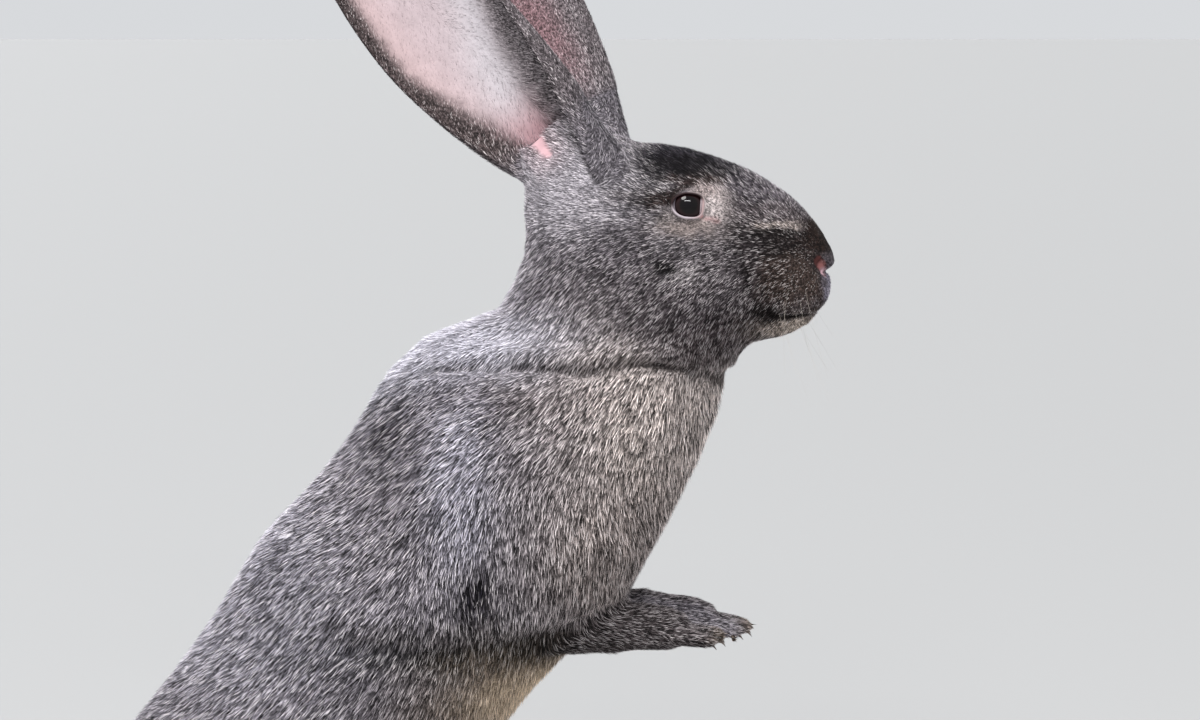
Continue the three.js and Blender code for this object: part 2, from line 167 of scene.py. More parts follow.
def solid_mesh(name, points, faces):
    """A closed mesh from points in millimetres, its faces turned outwards."""
    shape = bmesh.new()
    vertices = [shape.verts.new(p * MM) for p in points]
    for face in faces:
        shape.faces.new([vertices[i] for i in face])
    bmesh.ops.triangulate(shape, faces=[f for f in shape.faces if len(f.verts) > 4])
    if shape.calc_volume(signed=True) < 0:
        bmesh.ops.reverse_faces(shape, faces=shape.faces)
    return mesh_from(shape, name)


def apply_modifiers(piece):
    """Puts the mesh that a piece's modifiers make in place of its old one."""
    bpy.context.view_layer.update()
    done = bpy.data.meshes.new_from_object(piece.evaluated_get(bpy.context.evaluated_depsgraph_get()))
    piece.modifiers.clear()
    piece.data = done


def triangles_of(mesh):
    mesh.calc_loop_triangles()
    return read(mesh.loop_triangles, "vertices", 3, np.int32)


def finished(name, mesh, material):
    """A finished piece of the looks."""
    mesh.materials.append(material)
    piece = linked(name, mesh)
    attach(piece, "root")
    return piece


def keep_value(mesh, name, values):
    mesh.attributes.new(name, "FLOAT", "POINT").data.foreach_set("value", values.astype(np.float32))


def keep_colour(mesh, name, colours):
    full = np.concatenate([colours, np.ones((len(colours), 1))], axis=1).astype(np.float32)
    mesh.attributes.new(name, "FLOAT_COLOR", "POINT").data.foreach_set("color", full.ravel())


class Web:
    """The edges of a mesh, for spreading values between neighbours."""

    def __init__(self, mesh):
        ends = read(mesh.edges, "vertices", 2, np.int32)
        self.a, self.b = ends.T
        self.count = len(mesh.vertices)
        self.degree = np.maximum(np.bincount(ends.ravel(), minlength=self.count), 1)

    def mean(self, values):
        sums = [
            np.bincount(self.a, part[self.b], self.count) + np.bincount(self.b, part[self.a], self.count)
            for part in values.reshape(self.count, -1).T
        ]
        return (np.array(sums) / self.degree).T.reshape(values.shape)

    def spread(self, values, rounds):
        for _ in range(rounds):
            values = mix(values, self.mean(values), 0.6)
        return values

    def even_out(self, points, rounds):
        """Smooths points without shrinking them, each for its own number of rounds."""
        for step in range(int(rounds.max())):
            share = column(np.clip(rounds - step, 0, 1))
            points = points + (self.mean(points) - points) * 0.5 * share
            points = points - (self.mean(points) - points) * 0.52 * share
        return points


LATTICE = 32


class Noise:
    """Smooth random values between -1 and 1 over space, on a lattice of the given size."""

    def __init__(self, size, seed):
        self.size = size
        self.lattice = np.random.default_rng(seed).uniform(-1, 1, [LATTICE] * 3)

    def __call__(self, points):
        place = points / self.size
        cell = np.floor(place).astype(int)
        part = place - cell
        part = part * part * (3 - 2 * part)
        total = np.zeros(len(points))
        for corner in np.ndindex(2, 2, 2):
            share = np.prod(np.where(corner, part, 1 - part), axis=1)
            x, y, z = ((cell + corner) % LATTICE).T
            total += share * self.lattice[x, y, z]
        return total


# ---- The head's own frame
# Points of the head are given as forward, left and up from a point just behind and below the
# middle between the two eyes.

def box_of(node):
    """A node's lowest and highest corners."""
    return [np.array(corner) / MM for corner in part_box(node)]


def middle_of(node):
    low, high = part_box(node)
    return np.array((low + high) / 2) / MM


EYES_MIDDLE = (middle_of("eye_left") + middle_of("eye_right")) / 2
EYE_APART = np.linalg.norm(middle_of("eye_left") - middle_of("eye_right")) / 2
EYE_RADIUS = (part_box("eye_left")[1].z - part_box("eye_left")[0].z) / 2 / MM
LEFT = unit(middle_of("eye_left") - middle_of("eye_right"))
UP = np.array([0.0, 0.0, 1.0])
FORWARD = np.cross(LEFT, UP)
HEAD_AXES = np.array([FORWARD, LEFT, UP])
EYE_AT = np.array([4.0, EYE_APART, 3.0])
EYE_SHIFT = np.array([-1.3, 0.0, -0.5])
HEAD_ORIGIN = EYES_MIDDLE - np.array([EYE_AT[0], 0, EYE_AT[2]]) @ HEAD_AXES


def to_head(points):
    return (points - HEAD_ORIGIN) @ HEAD_AXES.T


def from_head(points):
    return HEAD_ORIGIN + np.asarray(points, float) @ HEAD_AXES


def folded(points):
    """Points with the animal's right side laid on its left."""
    return points * [1, 0, 1] + np.abs(points) * [0, 1, 0]


# ---- Where each point lies on the animal

def joined_nodes(names, swell=0.0):
    """The named nodes in one bmesh, each swollen a little, and the node of every face."""
    whole = bmesh.new()
    owners = []
    for name in names:
        part = shape_from(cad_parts[name].data)
        bmesh.ops.remove_doubles(part, verts=part.verts, dist=1e-5)
        part.normal_update()
        for vertex in part.verts:
            vertex.co += vertex.normal * swell * MM
        mesh = mesh_from(part, "part")
        whole.from_mesh(mesh)
        owners += [NODES.index(name)] * len(mesh.polygons)
    return whole, owners


def owner_finder():
    """A function that gives the flesh node nearest to each point, as its place in NODES."""
    whole, owners = joined_nodes(FLESH)
    whole.faces.ensure_lookup_table()
    tree = BVHTree.FromBMesh(whole)

    def owner_of(points):
        return np.array([owners[tree.find_nearest(Vector(p * MM))[2]] for p in points])

    return owner_of


owner_of = owner_finder()


def among(owners, start):
    """1 where the point's node starts with that name, else 0."""
    wanted = [NODES.index(name) for name in NODES if name.startswith(start)]
    return np.isin(owners, wanted).astype(float)


# ---- The coat, node by node
# depth: how far the skin lies inside the outline. length and width: a tuft's size. crowd: tufts
# to a square millimetre. rounds: how long the solids' facets are smoothed.

COAT = {
    "trunk": dict(depth=2.4, length=5.6, width=0.55, crowd=0.86, rounds=50),
    "upper_arm": dict(depth=2.3, length=5.4, width=0.55, crowd=1.05, rounds=45),
    "neck": dict(depth=2.1, length=4.7, width=0.50, crowd=1.45, rounds=40),
    "head": dict(depth=1.2, length=3.3, width=0.42, crowd=2.20, rounds=20),
    "ear": dict(depth=0.9, length=3.4, width=0.42, crowd=1.22, rounds=10),
    "forearm": dict(depth=1.8, length=5.0, width=0.56, crowd=1.60, rounds=24),
    "forepaw": dict(depth=1.0, length=3.8, width=0.48, crowd=2.00, rounds=8),
    "haunch": dict(depth=2.4, length=6.2, width=0.70, crowd=0.72, rounds=45),
    "hind_foot": dict(depth=1.4, length=4.6, width=0.66, crowd=0.95, rounds=12),
    "tail": dict(depth=5.0, length=13.0, width=0.80, crowd=1.70, rounds=24),
}
# Which way the coat lies on each of the other nodes than the trunk, head and ears.
LIE = {
    "neck": (-0.42, 0, -0.9),
    "forearm": (0.95, 0, -0.2),
    "forepaw": (0.97, 0, -0.2),
    "hind_foot": (0.97, 0, -0.22),
    "haunch": (-0.45, 0, -0.9),
    "tail": (-0.88, 0, -0.46),
    "upper_arm": (-0.1, 0, -1),
}


def coat_values(owners, key):
    """One column of the table for every point."""
    values = np.zeros(len(owners))
    for start, sizes in COAT.items():
        values += among(owners, start) * sizes[key]
    return values


# ---- The muzzle and mouth, in the head's frame, left side; the right is its mirror image

NOSE_TIP = np.array([70.0, 0.0, -22.0])
NOSTRIL = np.array([[64.6, 10.6, -24.8], [65.8, 8.2, -27.4], [66.6, 5.6, -30.6]])
CONCHA_END = np.array([[-73.0, 21.0, 43.0], [-72.0, 26.0, 34.0], [-65.6, 33.4, 27.5]])
EYE_CORNER = np.array([[10.5, 34.6, -2.2], [14.5, 33.2, -3.6], [18.5, 31.8, -4.6]])
# Strokes raise or sink the skin along a path: the path, its radius and its height.
STROKES = [
    (NOSTRIL, 2.9, -3.4),
    (CONCHA_END, 6.0, -4.0),
    ([[60, 13, -21.0], [65.5, 11, -23.4], [69.5, 6.5, -25.4], [70.0, 2, -27.0]], 2.2, 1.3),
    ([[69, 0, -30.6], [68.5, 5, -30.8], [66, 9.5, -31.2]], 1.8, -2.2),
    ([[58, 15, -14], [60, 14.5, -19], [61, 14, -24]], 1.8, -0.7),
    ([[69.5, 0, -29.0], [69.0, 0, -34.0], [68.0, 0, -42.0], [63.0, 0, -51.0]], 1.6, -3.4),
    ([[66.0, 0, -49.5], [63.5, 9, -50.5], [57.5, 14.5, -51.5], [50.0, 16.5, -53.0], [44.5, 16.0, -55.0],
      [38.5, 14.5, -58.0]], 1.4, -2.6),
    ([[61, 5, -54.5], [54, 11.5, -55.5], [47, 12.5, -58]], 2.4, 0.9),
    (EYE_CORNER, 1.1, -0.9),
    ([[-8, 35, 8.5], [4, 32.5, 12.5], [15, 28.5, 11.0], [24, 24, 5]], 3.6, 1.0),
    ([[25, 29, -16], [28.5, 28, -24], [31, 27, -33], [30, 26, -40]], 2.0, -1.3),
    ([[-16, 36, 3], [-26, 38, -6], [-30, 40, -20]], 5.0, -0.8),
]
# The same on the body, in the row's frame, left side; the right is its mirror image.
BODY_STROKES = [
    ([[-20, 60, 192], [20, 64, 189], [55, 58, 189], [90, 40, 193]], 6.5, -5.0),
    ([[-14, 66, 204], [40, 66, 201], [72, 54, 204], [104, 36, 216]], 6.0, 2.2),
    ([[-16, 56, 236], [-4, 64, 216], [6, 66, 200]], 4.5, -1.8),
    ([[46, 66, 226], [40, 66, 212], [50, 64, 202]], 6.0, -2.4),
    ([[20, 60, 262], [34, 64, 240], [44, 66, 226]], 7.0, -1.0),
]
# Bulges do the same round a centre: the centre, its radii and its height.
BULGES = [
    ((69, 0, -24.0), (6, 8, 5), 1.5),
    ((64, 8.0, -40), (9, 5.5, 8.5), 1.6),
    ((56, 16, -46), (9, 5, 5), 0.9),
    ((44, 20, -30), (10, 7, 12), 0.8),
]
GAZE = np.array([0.08, 0.99, 0.10])
COLLAR_HEIGHT = 320.0


def distance_to(points, path):
    """How far each point is from a path, and how far along the path its nearest place is."""
    path = np.array(path, float)
    best = np.full(len(points), np.inf)
    along = np.zeros(len(points))
    for i, (start, end) in enumerate(zip(path[:-1], path[1:])):
        step = end - start
        share = np.clip(dot(points - start, step) / dot(step, step), 0, 1)
        gap = np.linalg.norm(points - start - column(share) * step, axis=1)
        nearer = gap < best
        best = np.where(nearer, gap, best)
        along = np.where(nearer, (i + share) / (len(path) - 1), along)
    return best, along


def bump_at(points, centre, radii):
    """A soft bump of height 1 at a centre."""
    away = (points - np.array(centre, float)) / radii
    return np.exp(-dot(away, away))


# ---- The skin

SWELL = 0.4  # how far each solid is swollen, so that neighbours join
VOXEL = 1.8
THINNED = 0.42  # the share of the faces left where the coat is long
# The muzzle and the lips are made finer, each ahead of a place and between two heights.
REFINED = [(38, -70, 2), (55, -56, -15)]
OPENING_SUNK = 4.5  # how far the skin sinks between the lids


def blank_body():
    """All but the ears as one even mesh, with the eyes filled in."""
    whole, _ = joined_nodes([name for name in NODES if not name.startswith("ear_")], SWELL)
    piece = linked("skin", mesh_from(whole, "skin"))
    remesh = piece.modifiers.new("even", "REMESH")
    remesh.mode = "VOXEL"
    remesh.voxel_size = VOXEL * MM
    apply_modifiers(piece)
    return piece


def draw_in(piece):
    """Smooths the facets away and draws the surface in by the depth of the coat."""
    mesh = piece.data
    web = Web(mesh)
    points = read_points(mesh)
    owners = owner_of(points)
    head = to_head(points)
    muzzle = ramp(38, 56, head[:, 0]) * among(owners, "head")
    rounds = web.spread(coat_values(owners, "rounds") * (1 - 0.6 * muzzle), 20)
    points = web.even_out(points, rounds)
    write_points(mesh, points)
    depth = coat_values(owners, "depth")
    depth *= 1 - 0.6 * muzzle
    depth = web.spread(depth, 12) + SWELL
    points = points - read_normals(mesh) * column(depth)
    write_points(mesh, web.even_out(points, np.full(len(points), 3.0)))


def thin_out(piece):
    """Fewer and larger faces where the coat is long."""
    owners = owner_of(read_points(piece.data))
    plain = sum(among(owners, start) for start in ("trunk", "haunch", "neck", "upper_arm"))
    piece.vertex_groups.new(name="plain").add(np.flatnonzero(plain).tolist(), 1.0, "REPLACE")
    thin = piece.modifiers.new("thin", "DECIMATE")
    thin.ratio = THINNED
    thin.vertex_group = "plain"
    thin.vertex_group_factor = 4.0
    apply_modifiers(piece)


def refine(piece, front, low, high):
    """Halves the edges on the head that are ahead of front and between two heights."""
    def chosen(points):
        head = to_head(points)
        return (head[:, 0] > front) & (head[:, 2] > low) & (head[:, 2] < high)

    mesh = piece.data
    inside = chosen(read_points(mesh))
    shape = shape_from(mesh)
    edges = [e for e in shape.edges if inside[e.verts[0].index] and inside[e.verts[1].index]]
    bmesh.ops.subdivide_edges(shape, edges=edges, cuts=1, use_grid_fill=True)
    bmesh.ops.triangulate(shape, faces=[f for f in shape.faces if len(f.verts) > 4])
    shape.to_mesh(mesh)
    shape.free()
    points = read_points(mesh)
    write_points(mesh, Web(mesh).even_out(points, chosen(points) * 3.0))


def carve(piece):
    """Cuts the nostrils, the cleft of the lip, the mouth and the folds of the skin."""
    mesh = piece.data
    points = read_points(mesh)
    normals = read_normals(mesh)
    head = to_head(points)
    sided = folded(head)
    move = np.zeros(len(points))
    for path, radius, height in STROKES:
        gap, along = distance_to(sided, path)
        taper = ramp(0, 0.12, along) * ramp(1, 0.88, along) * 0.5 + 0.5
        move += height * taper * np.exp(-(gap / radius) ** 2)
    for path, radius, height in BODY_STROKES:
        gap, _ = distance_to(folded(points), path)
        move += height * np.exp(-(gap / radius) ** 2)
    for centre, radii, height in BULGES:
        move += height * bump_at(sided, centre, radii)
    move += collar_step(points)
    move -= OPENING_SUNK * ramp(2.5, 0.5, eye_distance(head))
    write_points(mesh, points + normals * column(move))


def above_collar(points):
    """How high a point is above the fold where the neck's loose skin hangs over the chest."""
    wave = 1.2 * np.sin(points[:, 0] / 17.0) + 1.2 * np.sin(points[:, 0] / 7.3 + points[:, 1] / 21.0)
    rise = 8.0 * ramp(4, 50, points[:, 0]) * ramp(162, 132, points[:, 0])
    return points[:, 2] - COLLAR_HEIGHT - wave - rise


def collar_step(points):
    """The neck's loose skin bulges above its fold, and the chest below it is sunk."""
    height = above_collar(points)
    zone = ramp(2, 34, points[:, 0]) * ramp(156, 128, points[:, 0])
    zone *= mix(0.6, 1, ramp(80, 115, points[:, 0]))
    over = 4.2 * np.exp(-((height - 5.0) / 5.0) ** 2)
    under = 5.0 * np.exp(-((height + 1.4) / 2.4) ** 2)
    return zone * (over - under)


# ---- Ears
# The ears repeat the curve of the part's own: each leans back by lean degrees, straightening a
# little towards its tip, and its opening faces sideways and, by roll degrees, backwards.

EAR_LENGTH, EAR_WIDTH, EAR_SUNK = 186.0, 86.0, 0.1
EAR_STEPS = 24
EAR_TIP = 0.9992  # the last row, a little short of the very tip
EAR_WALL = (3.4, 1.5)  # its thickness at the root and the tip
EARS = {
    "right": dict(side=-1, root=[-50, -22, 21], lean=[49, 36]),
    "left": dict(side=1, root=[-53, 22, 23], lean=[37, 21]),
}
EAR_SPLAY, EAR_ROLL = math.radians(9), math.radians(30)
EAR_ROWS, EAR_COLUMNS = 96, 40


def ear_frame(ear, s):
    """The middle line's points and its three axes, in the head's frame, at shares s of the length."""
    side = ear["side"]
    point = np.tile(np.array(ear["root"], float), (len(s), 1))
    for i in range(EAR_STEPS + 1):
        lean = np.radians(mix(*ear["lean"], i / EAR_STEPS * s))
        splay = np.full(len(s), side * math.tan(EAR_SPLAY))
        heading = unit(np.stack([-np.sin(lean), splay, np.cos(lean)], 1))
        if i < EAR_STEPS:
            point += heading * column(EAR_LENGTH * s / EAR_STEPS)
    outward = unit(np.array([0.0, side, 0.0]) - heading * heading[:, 1:2] * side)
    ahead = unit(np.cross(outward, heading) * side)
    opening = outward * math.cos(EAR_ROLL) - ahead * math.sin(EAR_ROLL)
    across = ahead * math.cos(EAR_ROLL) + outward * math.sin(EAR_ROLL)
    return point, heading, opening, across


def ear_surface(ear, s, across, outside, wall):
    """Points of an ear's wall. across runs from the rear margin, -1, to the front margin, 1;
    outside is 1 on the furred back of the wall and -1 in the gutter."""
    point, _, opening, sideways = ear_frame(ear, s)
    swell = 1 - 0.63 * (1 - np.clip((s + EAR_SUNK) / 0.65, 0, 1)) ** 2
    taper = np.sqrt(1 - np.clip((s - 0.45) / 0.55, 0, 1) ** 2.4)
    width = EAR_WIDTH * swell * taper
    wrap = np.radians(mix(150, 72, np.clip(s * 1.15, 0, 1) ** 0.7))
    half = width / 2 / np.sin(np.minimum(wrap, math.pi / 2))
    depth = mix(15, 8, np.clip(s * 1.3, 0, 1)) * np.minimum(1, 0.15 + 2 * taper)
    shift = outside * wall * (1 - 0.35 * across ** 2) / 2
    angle = across * wrap
    point = point + sideways * column((half - 0.6 + shift) * np.sin(angle))
    return point - opening * column((depth + shift) * np.cos(angle))


def ear_grid(ear):
    """Rows from the root to the tip, each once round the wall: its back, then its gutter."""
    s = mix(-EAR_SUNK, EAR_TIP, np.linspace(0, 1, EAR_ROWS) ** 0.9)
    across = np.cos(np.linspace(math.pi, 0, EAR_COLUMNS))
    rows = np.repeat(s, 2 * EAR_COLUMNS)
    columns = np.tile(np.concatenate([across, across[::-1]]), EAR_ROWS)
    outside = np.tile(np.repeat([1.0, -1.0], EAR_COLUMNS), EAR_ROWS)
    wall = mix(*EAR_WALL, np.clip(rows, 0, 1)) * (1 - 0.25 * np.abs(columns) ** 6)
    return rows, columns, outside, ear_surface(ear, rows, columns, outside, wall)


def tube_faces(rows, around):
    """Quads of an open tube of rings."""
    ring = np.arange(around)
    following = (ring + 1) % around
    base = column(np.arange(rows - 1) * around)
    quads = [base + ring, base + following, base + around + following, base + around + ring]
    return np.stack(quads, 2).reshape(-1, 4)


def closed_tube(name, points, rows, around):
    """A tube of rings closed by a flat face at each end."""
    order = list(range(len(points)))
    return solid_mesh(name, points, [*tube_faces(rows, around), order[:around][::-1], order[-around:]])


def ear_blank(name):
    _, _, _, points = ear_grid(EARS[name])
    return linked("ear_blank_" + name, closed_tube("ear", from_head(points), EAR_ROWS, 2 * EAR_COLUMNS))


class EarMap:
    """For points on or near an ear: the nearest place on its wall."""

    def __init__(self):
        parts = []
        for ear in EARS.values():
            rows, columns, outside, points = ear_grid(ear)
            _, heading, _, sideways = ear_frame(ear, rows)
            axes = heading @ HEAD_AXES, sideways @ HEAD_AXES
            parts.append((rows, columns, outside, *axes, from_head(points)))
        self.rows, self.columns, self.outside, self.headings, self.sideways, places = map(
            np.concatenate, zip(*parts))
        self.tree = KDTree(len(places))
        for i, place in enumerate(places):
            self.tree.insert(place, i)
        self.tree.balance()

    def find(self, points):
        found = np.array([self.tree.find(p)[1:] for p in points]).reshape(-1, 2)
        return found[:, 0].astype(int), found[:, 1]


# ---- Eyelids

LID_AROUND = 96
# The section through a lid from its hidden back, over its edge, to its outer border: how far
# outside the opening's edge, how far above the eyeball, and how much it follows the face there.
LID_SECTION = [(2.0, 0.12, 0), (0.5, 0.12, 0), (0.08, 0.3, 0), (0.0, 0.6, 0), (0.22, 0.95, 0),
               (0.7, 1.15, 0), (1.4, 1.25, 0.05), (2.4, 1.1, 0.25), (3.6, 0.9, 0.55),
               (5.2, 0.6, 0.85), (7.5, 0.3, 1), (7.5, -3.5, 1), (3.0, -2.5, 0)]
OPENING = dict(wide=7.1, high=5.45, rear=1.9, front=3.3, tilt=math.radians(-4))
EYE_ROWS, EYE_AROUND = 48, 72
EYE_POLAR = np.linspace(0.004, math.pi - 0.004, EYE_ROWS)  # each ring's angle from the gaze


def eye_frame(side):
    """An eye's middle and its gaze, forward and upward axes, in the head's frame."""
    middle = (EYE_AT + EYE_SHIFT) * [1, side, 1]
    gaze = unit(GAZE * [1, side, 1])
    ahead = unit(np.array([1.0, 0, 0]) - gaze * gaze[0])
    upward = np.cross(gaze, ahead) * -side
    return middle, gaze, ahead, upward


def opening_at(angle):
    """The edge of the opening between the lids, forward and up from its middle."""
    turned = angle - OPENING["tilt"]
    c, s = np.cos(turned), np.sin(turned)
    power = mix(OPENING["rear"], OPENING["front"], ramp(-0.4, 0.4, c))
    radius = (np.abs(c / OPENING["wide"]) ** power + np.abs(s / OPENING["high"]) ** power) ** (-1 / power)
    return np.stack([np.cos(angle), np.sin(angle)], 1) * column(radius)


def eye_distance(head):
    """How far outside the lids' edge each point of the head is, as seen along the gaze."""
    best = np.full(len(head), 99.0)
    for side in SIDES.values():
        middle, gaze, ahead, upward = eye_frame(side)
        local = head - middle
        flat = np.stack([dot(local, ahead), dot(local, upward)], 1)
        edge = np.linalg.norm(opening_at(np.arctan2(flat[:, 1], flat[:, 0])), axis=1)
        gap = np.linalg.norm(flat, axis=1) - edge
        best = np.where((dot(local, gaze) > 0) & (gap < best), gap, best)
    return best


def lid_blank(name, face_tree):
    """A ring round an eye whose inner edge is the opening and whose outer border follows the face."""
    middle, gaze, ahead, upward = eye_frame(SIDES[name])
    edge = opening_at(around_circle(LID_AROUND))
    rings = []
    for outside, rise, follow in LID_SECTION:
        flat = edge + unit(edge) * outside
        height = np.sqrt(np.maximum((EYE_RADIUS + rise) ** 2 - dot(flat, flat), 4.0))
        spot = middle + flat[:, :1] * ahead + flat[:, 1:] * upward
        if follow:
            down = Vector(-gaze @ HEAD_AXES)
            starts = from_head(spot + gaze * 40) * MM
            face = np.array([40 - face_tree.ray_cast(Vector(start), down)[3] / MM for start in starts])
            height = mix(height, face + (rise - 0.9), follow)
        rings.append(from_head(spot + column(height) * gaze))
    points = np.concatenate(rings)
    faces = tube_faces(len(rings) + 1, LID_AROUND) % len(points)
    return linked("lid_blank_" + name, solid_mesh("lid", points, faces))


def combine(piece, how, others):
    """Joins other solids to a piece, or cuts them out of it, one by one."""
    for other in others:
        join = piece.modifiers.new("join", "BOOLEAN")
        join.operation = how
        join.solver = "MANIFOLD"
        join.object = other
        apply_modifiers(piece)
        bpy.data.objects.remove(other)


def socket_blank(name):
    """A ball a hair's breadth larger than the eyeball."""
    return linked("socket_" + name, ball("socket", name, np.full(EYE_ROWS, EYE_RADIUS + 0.1)))


def ball(mesh_name, name, radii):
    """A closed ball round an eye's middle, of one radius for each ring from front to back."""
    middle, gaze, ahead, upward = eye_frame(SIDES[name])
    polar = column(np.repeat(EYE_POLAR, EYE_AROUND))
    turn = column(np.tile(around_circle(EYE_AROUND), EYE_ROWS))
    radius = column(np.repeat(radii, EYE_AROUND))
    flat = (np.cos(turn) * ahead + np.sin(turn) * upward) * np.sin(polar)
    local = (flat + gaze * np.cos(polar)) * radius
    return closed_tube(mesh_name, from_head(middle + local), EYE_ROWS, EYE_AROUND)


def soften_ear_roots(piece):
    """Rounds the creases where the ears' walls run into the head."""
    mesh = piece.data
    web = Web(mesh)
    points = read_points(mesh)
    near = np.flatnonzero(to_head(points)[:, 2] > 8)
    index, gap = EAR_MAP.find(points[near])
    zone = np.zeros(len(points))
    zone[near] = ramp(6.0, 1.0, gap) * ramp(0.16, 0.08, EAR_MAP.rows[index])
    hollow = ramp(11, 6, distance_to(folded(to_head(points)), CONCHA_END)[0])
    for step in range(40):
        reach = zone if step < 14 else hollow
        points = mix(points, web.mean(points), 0.6 * column(reach))
    write_points(mesh, points)


def build_skin():
    skin = blank_body()
    draw_in(skin)
    thin_out(skin)
    for place in REFINED:
        refine(skin, *place)
    carve(skin)
    face_tree = tree_of(skin.data)
    combine(skin, "UNION", [lid_blank(name, face_tree) for name in SIDES])
    combine(skin, "DIFFERENCE", [socket_blank(name) for name in SIDES])
    combine(skin, "UNION", [ear_blank(name) for name in EARS])
    soften_ear_roots(skin)
    smooth(skin.data)
    return skin


# ---- Markings, painted shade and painted light
# A zone tints the coat round a centre: radii in millimetres, a screen colour and a strength. Most zones are
# the coat's own markings; some are painted shade or painted light, as noted.

BASE = srgb(152, 145, 153)
EYE_PATCH = np.array([16.0, 32.6, 2.5])
UNDER_EYE = np.array([5.0, 36.0, -7.5])
# The middle of the painted shade in each armpit, under the chest.
ARMPIT_SHADE = np.array([76.0, 46.0, 186.0])
HEAD_ZONES = [  # centres in the head's frame, right side folded on the left
    ((10, 25, -22), (60, 44, 44), (124, 116, 121), 0.95),
    ((-48, 32, 10), (36, 24, 22), (202, 196, 204), 0.95),
    ((-12, 34, -18), (34, 16, 26), (100, 93, 99), 0.6),
    ((0, 30, -52), (36, 30, 20), (92, 84, 88), 0.8),
    ((8, 10, 26), (36, 24, 11), (30, 27, 36), 1.0),
    ((-6, 24, 19), (20, 11, 8), (30, 26, 30), 0.9),
    ((10, 18, 20.5), (19, 12, 8.0), (10, 8, 12), 1.0),
    ((-20, 34, 7), (16, 8, 5), (60, 52, 54), 0.7),
    ((-10, 36, 6), (10, 7, 3.4), (34, 25, 24), 1.0),
    ((35, 10, 6), (22, 14, 12), (92, 86, 94), 0.7),
    ((24, 28, 0), (7, 6, 12), (58, 50, 50), 0.6),
    ((42, 17, -2.0), (20, 14, 5.0), (112, 103, 106), 0.8),
    ((48, 18, -30), (19, 14, 18), (84, 70, 65), 1.0),
    ((44, 18, -15.5), (22, 14, 6.0), (34, 27, 27), 0.95),
    ((46, 17, -7.6), (13, 9, 1.7), (200, 186, 180), 1.0),
    ((30, 27, -22), (10, 8, 16), (60, 52, 56), 0.6),
    ((63, 4, -15), (10, 11, 14), (50, 38, 34), 1.0),
    ((18, 34, -30), (13, 12, 15), (128, 120, 124), 0.7),
    ((4, 38, -16), (14, 8, 5), (140, 134, 138), 0.6),
    ((-7, 37, -27), (4.0, 6, 3.8), (14, 9, 11), 1.0),
    ((3, 37, -29), (6, 6, 3.4), (176, 168, 170), 0.8),
    ((15.6, 32.6, 1.8), (8.0, 10, 9.6), (226, 213, 212), 1.0),
    ((12, 31, 9.4), (7, 8, 2.4), (190, 174, 172), 0.9),
    ((5, 36, -7.6), (14, 7, 3.4), (178, 163, 158), 0.85),
    ((-6, 37, -3), (4.5, 7, 3.6), (164, 154, 152), 0.75),
    ((9, 26, 14.2), (13, 9, 2.0), (64, 44, 40), 0.9),
    ((52, 11, -57.4), (19, 14, 4.8), (255, 236, 220), 1.0),
    # Painted shade in the corner of the mouth.
    ((41, 17, -50.5), (9, 9, 4.6), (16, 10, 9), 1.0),
    ((62, 11, -41), (9, 6.5, 10), (86, 71, 65), 0.95),
    ((70.6, 6, -38.5), (3.2, 9, 8.5), (192, 184, 204), 1.0),
    ((20, 20, -64), (30, 26, 14), (92, 80, 82), 0.7),
]
